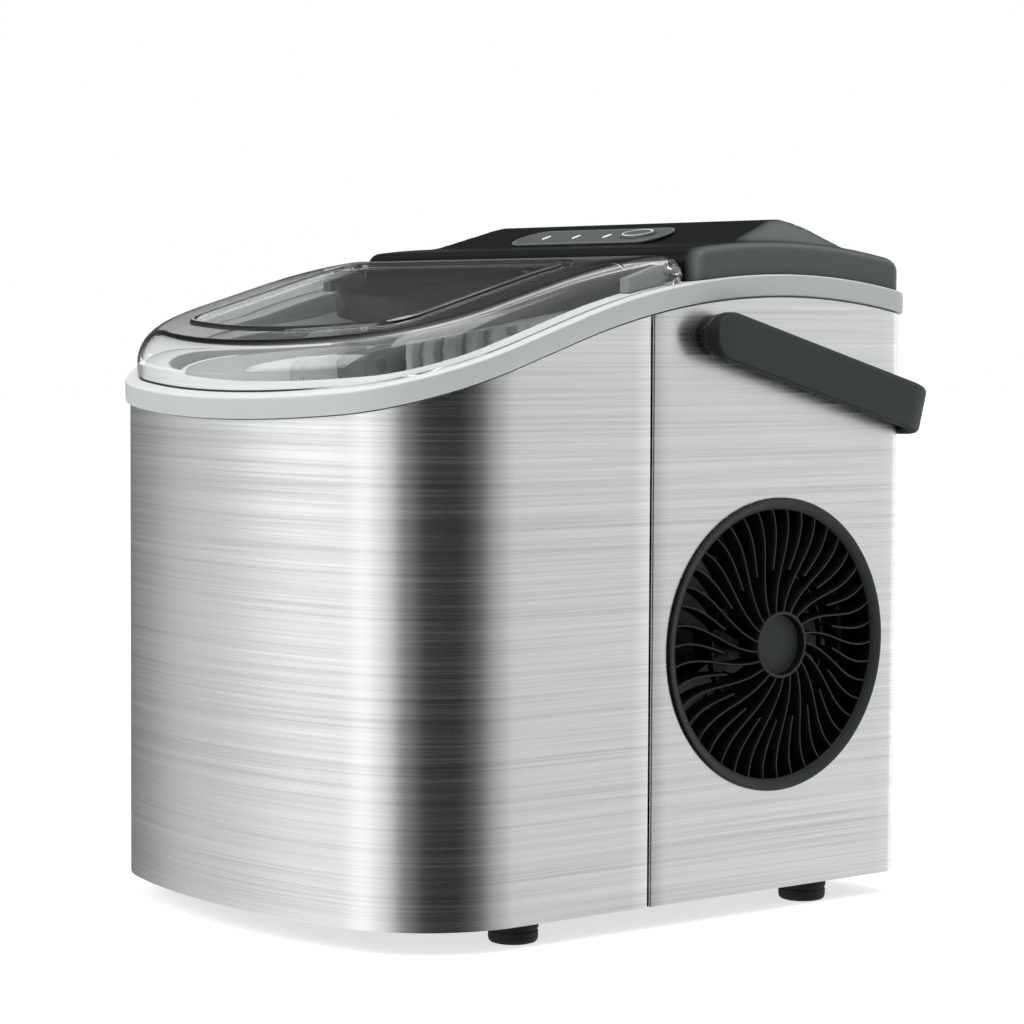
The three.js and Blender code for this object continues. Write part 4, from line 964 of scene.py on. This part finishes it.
def side_grille():
    face = GRILLE_FACE
    rim_profile = [
        (GRILLE_BORE, 102), (56.3, 102), (56.3, face), (GRILLE_RADIUS - 0.3, face),
        (GRILLE_RADIUS, face + 0.2),
        (GRILLE_RADIUS, face + 0.7), (GRILLE_RADIUS - 0.3, face + 1.1), (GRILLE_RADIUS - 0.9, face + 1.3),
        (GRILLE_RADIUS - 1.6, face + 1.2), (GRILLE_BORE + 0.5, 111.8), (GRILLE_BORE, 111.2),
    ]
    hub_profile = [
        (0.02, 104), (HUB_RADIUS, 104), (HUB_RADIUS, 114.9), (HUB_RADIUS - 0.3, 115.4),
        (HUB_RADIUS - 0.8, 115.5), (HUB_RADIUS - 1.3, 115.2), (HUB_RADIUS - 1.7, 112),
        (HUB_RADIUS - 2.2, 111.6),
        (0.02, 111.6),
    ]
    ring_profile = [(MID_RING_RADIUS - 0.7, 104.2), (MID_RING_RADIUS + 0.7, 104.2),
                    (MID_RING_RADIUS + 0.4, 107), (MID_RING_RADIUS - 0.4, 107)]
    parts = [
        lathe("rim", rim_profile, "X", FAN_CENTRE, 128),
        lathe("hub", hub_profile, "X", FAN_CENTRE, 64),
        lathe("mid_ring", ring_profile, "X", FAN_CENTRE, 84),
    ]
    for pair in range(VANE_PAIRS):
        start = 360 / VANE_PAIRS * pair
        parts.append(vane(start, HUB_RADIUS - 0.5, 20))
        parts.append(vane(start + 180 / VANE_PAIRS, MID_RING_RADIUS - 0.2, 12))
    grille = join("grille_moulding", *parts)
    finish_piece(grille, GRILLE, "cabinet", "black", "side_grille")


def fan():
    """Axial fan: a domed hub with five twisted blades."""
    hub_profile = [(0.3, FAN_X - 6.9), (13, FAN_X - 6.9), (14, FAN_X - 6), (14, FAN_X + 3),
                   (13, FAN_X + 4.8), (10.5, FAN_X + 5.7), (0.3, FAN_X + 5.95)]
    shaft_profile = [(0.3, 80.6), (2.4, 80.6), (2.4, FAN_X - 6), (0.3, FAN_X - 6)]
    parts = [lathe("hub", hub_profile, "X", FAN_CENTRE, 48),
             lathe("shaft", shaft_profile, "X", FAN_CENTRE, 24)]
    for blade in range(FAN_BLADES):
        rings = []
        for radius in spread(12.5, 44.6, 12):
            out = (radius - 12.5) / 32.1
            pitch = math.radians(42 - 12 * out)
            half_chord = 9 + 4 * math.sin(math.pi * min(out, 0.85) / 1.7)
            ring = []
            for along, thick in ((-1, 0), (-0.6, 0.6), (0, 0.8), (0.6, 0.6), (1, 0),
                                 (0.6, -0.4), (0, -0.5), (-0.6, -0.4)):
                lift = thick + 0.9 * (1 - along**2)
                run = half_chord * along
                x = FAN_X - run * math.sin(pitch) + lift * math.cos(pitch) - 0.5
                turn = math.radians(72 * blade) + (run * math.cos(pitch) + lift * math.sin(pitch)) / radius
                ring.append((x, FAN_Y + radius * math.cos(turn), FAN_Z + radius * math.sin(turn)))
            rings.append(ring)
        parts.append(rings_to_mesh("blade", rings, smooth_angle=60))
    rotor = join("fan_rotor", *parts)
    finish_piece(rotor, FAN_GREY, "fan", "slate", "fan")


# ---- Handle ----

def handle():
    """A U of rounded rectangular section: round pivot ends, thinner along the grip."""
    half_width = HANDLE_WIDTH / 2
    stations = []
    for t in [0, 0.02, 0.06, 0.13, 0.22, 0.34, 0.48, 0.64, 0.82, 1]:
        reach = -half_width + half_width * t
        width = math.sqrt(max(half_width**2 - reach**2, 0.3))
        stations.append(((HANDLE_OUTER_X, reach), (HANDLE_INNER_X, reach), width))
    for reach in spread(0, HANDLE_REACH_OUTER - 18, 10)[1:-1]:
        stations.append(((HANDLE_OUTER_X, reach), (HANDLE_INNER_X, reach), half_width))
    outer = arc(HANDLE_OUTER_X - 18, HANDLE_REACH_OUTER - 18, 18, 0, 90, 16)
    inner = arc(HANDLE_INNER_X - 11, HANDLE_REACH_INNER - 11, 11, 0, 90, 16)
    stations += [(a, b, half_width) for a, b in zip(outer, inner)]
    stations.append(((60, HANDLE_REACH_OUTER), (60, HANDLE_REACH_INNER), half_width))
    stations.append(((0, HANDLE_REACH_OUTER), (0, HANDLE_REACH_INNER), half_width))
    mirrored = [((-a[0], a[1]), (-b[0], b[1]), w) for a, b, w in reversed(stations[:-1])]
    rings = []
    for (x0, y0), (x1, y1), width in stations + mirrored:
        half = math.hypot(x0 - x1, y0 - y1) / 2
        radius = min(2.2, width * 0.9)
        section = rounded_rectangle(0, 0, 2 * half, 2 * width, radius, 5)
        ring = []
        for across, up in section:
            share = (half + across) / (2 * half)
            ring.append((x1 + (x0 - x1) * share, y1 + (y0 - y1) * share, up))
        rings.append(ring)
    grip = rings_to_mesh("carry_handle", rings, smooth_angle=60)
    swing = Matrix.Rotation(math.radians(HANDLE_REST_ANGLE), 4, "X")
    grip.data.transform(Matrix.Translation(Vector((0, PIVOT_Y, PIVOT_Z)) * MM) @ swing)
    finish_piece(grip, HANDLE, "handle", "slate", "handle")


def handle_pivots():
    profile = [(0.3, 106), (4.6, 106), (4.6, 112.3), (6.2, 112.3), (6.5, 112.7), (6.5, 113.8), (6.1, 114.2),
               (8.3, 114.3), (8.8, 114.8), (8.8, 116.2), (8.4, 116.7), (2.9, 116.7), (2.9, 122.3),
               (0.3, 122.4)]
    for label, side in (("right", 1), ("left", -1)):
        mirrored = [(r, side * x) for r, x in profile]
        pivot = lathe(f"handle_boss_{label}", mirrored, "X", (PIVOT_Y, PIVOT_Z), 48)
        finish_piece(pivot, BLACK, "cabinet", "black", f"handle_pivot_{label}")


# ---- Pieces refined from the CAD ----

REFINED = {
    "base_tray": (BLACK, "cabinet", "black", 0.5),
    "cord_inlet": (BLACK, "cabinet", "black", 0.4),
    "drain_plug": (RUBBER, "drain_plug", "rubber", 0.5),
    "control_board": (BOARD, "cabinet", "board", 0.2),
    "hinge_knuckle_right": (GREY, "cabinet", "grey", 0.5),
    "hinge_knuckle_left": (GREY, "cabinet", "grey", 0.5),
    "lid_hinge_pin_right": (GREY, "lid", "aluminium", 0.3),
    "lid_hinge_pin_left": (GREY, "lid", "aluminium", 0.3),
    "fan_shroud": (BLACK, "cabinet", "black", 0.4),
    "fan_motor": (GREY, "cabinet", "motor", 0.8),
    "condenser": (ALUMINIUM, "cabinet", "aluminium", 0.15),
    "compressor": (PAINT, "cabinet", "compressor_paint", 0.8),
    "inner_tank": (TANK, "cabinet", "tank", 0.6),
    "ice_basket": (TANK, "ice_basket", "tank", 0.6),
    "water_tray": (TANK, "water_tray", "tank", 0.4),
    "ice_pusher": (TANK, "ice_pusher", "tank", 0.3),
    "ice_chute": (TANK, "cabinet", "tank", 0.4),
    "evaporator": (FROSTED, "cabinet", "aluminium", 0.3),
    "evaporator_cover": (GLOSS, "cabinet", "gloss", 0.8),
    "ice_level_sensor": (SLATE, "cabinet", "slate", 0.8),
    "tray_motor": (BLACK, "cabinet", "black", 0.5),
    "water_pump": (GREY, "cabinet", "grey", 0.6),
}

CARRIED_OVER = {
    "drain_socket": GREY,
    "hot_gas_pipe": COPPER,
    "suction_pipe": COPPER,
    "tank_insulation": FOAM,
    "water_hose": HOSE,
}


def refined_pieces():
    for node, (material, body, slot, width) in REFINED.items():
        piece = refined(node, width)
        finish_piece(piece, material, body, slot, node)
    for node, material in CARRIED_OVER.items():
        for index in range(len(cad_nodes[node].material_slots)):
            cad_nodes[node].material_slots[index].material = material


def rear_screws():
    """Pan-head screws with a cross recess."""
    profile = [(0.2, 124), (1.6, 124), (1.6, 132.3), (3.5, 132.3), (3.6, 132.7), (3.1, 133.5),
               (1.9, 133.9), (0.2, 134)]
    for number, (x, z) in enumerate(REAR_SCREWS, 1):
        screw = lathe(f"screw_{number}", profile, "Y", (x, z), 36)
        cross = [prism("slot", rounded_rectangle(x, z, *size, 0.3), "Y", 133.1, 136)
                 for size in ((3.6, 0.8), (0.8, 3.6))]
        carve(screw, *cross)
        finish_piece(screw, ALUMINIUM, "cabinet", "aluminium", f"rear_screw_{number}")


# ---- Studio ----

# Light of the studio's walls by bearing, in degrees from +X towards +Y: low down and higher up.
LOW_WALLS = [(-180, 0.22), (-150, 0.58), (-120, 0.8), (-92, 1.1), (-76, 0.8), (-55, 0.16), (-38, 0.015),
             (-12, 0.01), (4, 0.08), (24, 0.42), (42, 0.66), (56, 0.8), (80, 1.1), (108, 1.0), (135, 0.3),
             (160, 0.2), (180, 0.22)]
HIGH_WALLS = [(-180, 0.2), (-150, 0.58), (-120, 0.8), (-92, 1.1), (-76, 0.8), (-55, 0.16), (-38, 0.015),
              (-12, 0.01), (4, 0.08), (24, 0.42), (42, 0.7), (70, 1.0), (95, 0.8), (112, 0.07), (165, 0.06),
              (180, 0.2)]
WALL_STEP = (0.06, 0.22)
CEILING_STEP = (0.45, 0.85)
CEILING = (0.9, 0.91, 0.9, 1)


def bearing_ramp(tree, factor, walls):
    stops = [((degrees + 180) / 360, light) for degrees, light in walls]
    return ramp(tree, factor, stops, "EASE")


def height_step(tree, height, low, high):
    """0 below low and 1 above high, as heights on a unit sphere of directions."""
    limits = {"From Min": low, "From Max": high, "Value": height}
    return new_node(tree, "MapRange", limits, interpolation_type="SMOOTHSTEP").outputs["Result"]


def colour_mix(tree, factor, first, second):
    """From the first colour to the second, which may be a value."""
    node = new_node(tree, "Mix", {"Factor": factor}, data_type="RGBA")
    first_input, second_input = [socket for socket in node.inputs if socket.type == "RGBA"]
    tree.links.new(first, first_input)
    if isinstance(second, tuple):
        second_input.default_value = second
    else:
        tree.links.new(second, second_input)
    return [socket for socket in node.outputs if socket.type == "RGBA"][0]


def studio_world():
    """Light by bearing for reflections, and a white backdrop where it is seen without a bounce."""
    world = bpy.data.worlds.new("studio")
    bpy.context.scene.world = world
    world.use_nodes = True
    tree = world.node_tree
    coords = new_node(tree, "TexCoord", {})
    split = new_node(tree, "SeparateXYZ", {"Vector": coords.outputs["Generated"]})
    bearing = calculate(tree, "ARCTAN2", split.outputs["Y"], split.outputs["X"])
    to_unit = new_node(tree, "MapRange", {"From Min": -math.pi, "From Max": math.pi, "Value": bearing})
    low_walls, high_walls = (bearing_ramp(tree, to_unit.outputs["Result"], walls)
                             for walls in (LOW_WALLS, HIGH_WALLS))
    walls = colour_mix(tree, height_step(tree, split.outputs["Z"], *WALL_STEP), low_walls, high_walls)
    overhead = colour_mix(tree, height_step(tree, split.outputs["Z"], *CEILING_STEP), walls, CEILING)
    lit = tree.nodes["Background"]
    tree.links.new(overhead, lit.inputs["Color"])
    backdrop = new_node(tree, "Background", {"Color": (1, 1, 1, 1)})
    path = new_node(tree, "LightPath", {})
    bounced = calculate(tree, "ADD", path.outputs["Glossy Depth"], path.outputs["Diffuse Depth"])
    mix = new_node(tree, "MixShader", {"Fac": calculate(tree, "LESS_THAN", bounced, 0.5),
                                       1: lit.outputs["Background"], 2: backdrop.outputs["Background"]})
    tree.links.new(mix.outputs["Shader"], tree.nodes["World Output"].inputs["Surface"])


def area_light(name, position, target, size, power):
    data = bpy.data.lights.new(name, "AREA")
    data.shape = "SQUARE"
    data.size = size
    data.energy = power
    light = add_object(name, data)
    light.location = position
    light.rotation_euler = (Vector(target) - Vector(position)).to_track_quat("-Z", "Y").to_euler()


def floor():
    mesh = bpy.data.meshes.new("studio_floor")
    reach = 8
    mesh.from_pydata([(-reach, -reach, 0), (reach, -reach, 0), (reach, reach, 0), (-reach, reach, 0)],
                     [], [(0, 1, 2, 3)])
    surface = add_object("studio_floor", mesh)
    material, shader = new_material("pale_floor", (0.86, 0.87, 0.87), 0.9)
    shader.inputs["Emission Color"].default_value = (1, 1, 1, 1)
    shader.inputs["Emission Strength"].default_value = 0.68
    mesh.materials.append(material)
    surface.visible_glossy = False


CAMERA_ANGLES = (50.68, 3.342, 0.293)  # azimuth, pitch and roll in degrees
CAMERA_PLACE = (1.03499, -0.837697, 0.23842)
CAMERA_LENS = 110.74


def camera():
    """The front and the right side, a little above the middle."""
    azimuth, pitch, roll = (math.radians(angle) for angle in CAMERA_ANGLES)
    forward = Vector((-math.sin(azimuth) * math.cos(pitch), math.cos(azimuth) * math.cos(pitch),
                      -math.sin(pitch)))
    level = Vector((math.cos(azimuth), math.sin(azimuth), 0))
    upright = level.cross(forward)
    right = math.cos(roll) * level + math.sin(roll) * upright
    up = -math.sin(roll) * level + math.cos(roll) * upright
    data = bpy.data.cameras.new("camera")
    data.sensor_width = 36
    data.lens = CAMERA_LENS
    view = add_object("camera", data)
    turn = Matrix((right, up, -forward)).transposed().to_4x4()
    view.matrix_world = Matrix.Translation(CAMERA_PLACE) @ turn
    bpy.context.scene.camera = view


# ---- The scene ----

front_wrap()
side_panels()
dark_backings()
rear_panel()
rear_screws()
feet()
top_frame()
top_housing()
controls()
lid()
side_grille()
fan()
handle()
handle_pivots()
refined_pieces()

floor()
studio_world()
area_light("overhead", (0.15, -0.25, 1.4), (0, 0, 0.1), 1.1, 9)
area_light("front_left", (-0.9, -1.3, 0.9), (0, 0, 0.12), 0.8, 6)
camera()
bpy.context.scene.view_settings.view_transform = "Standard"
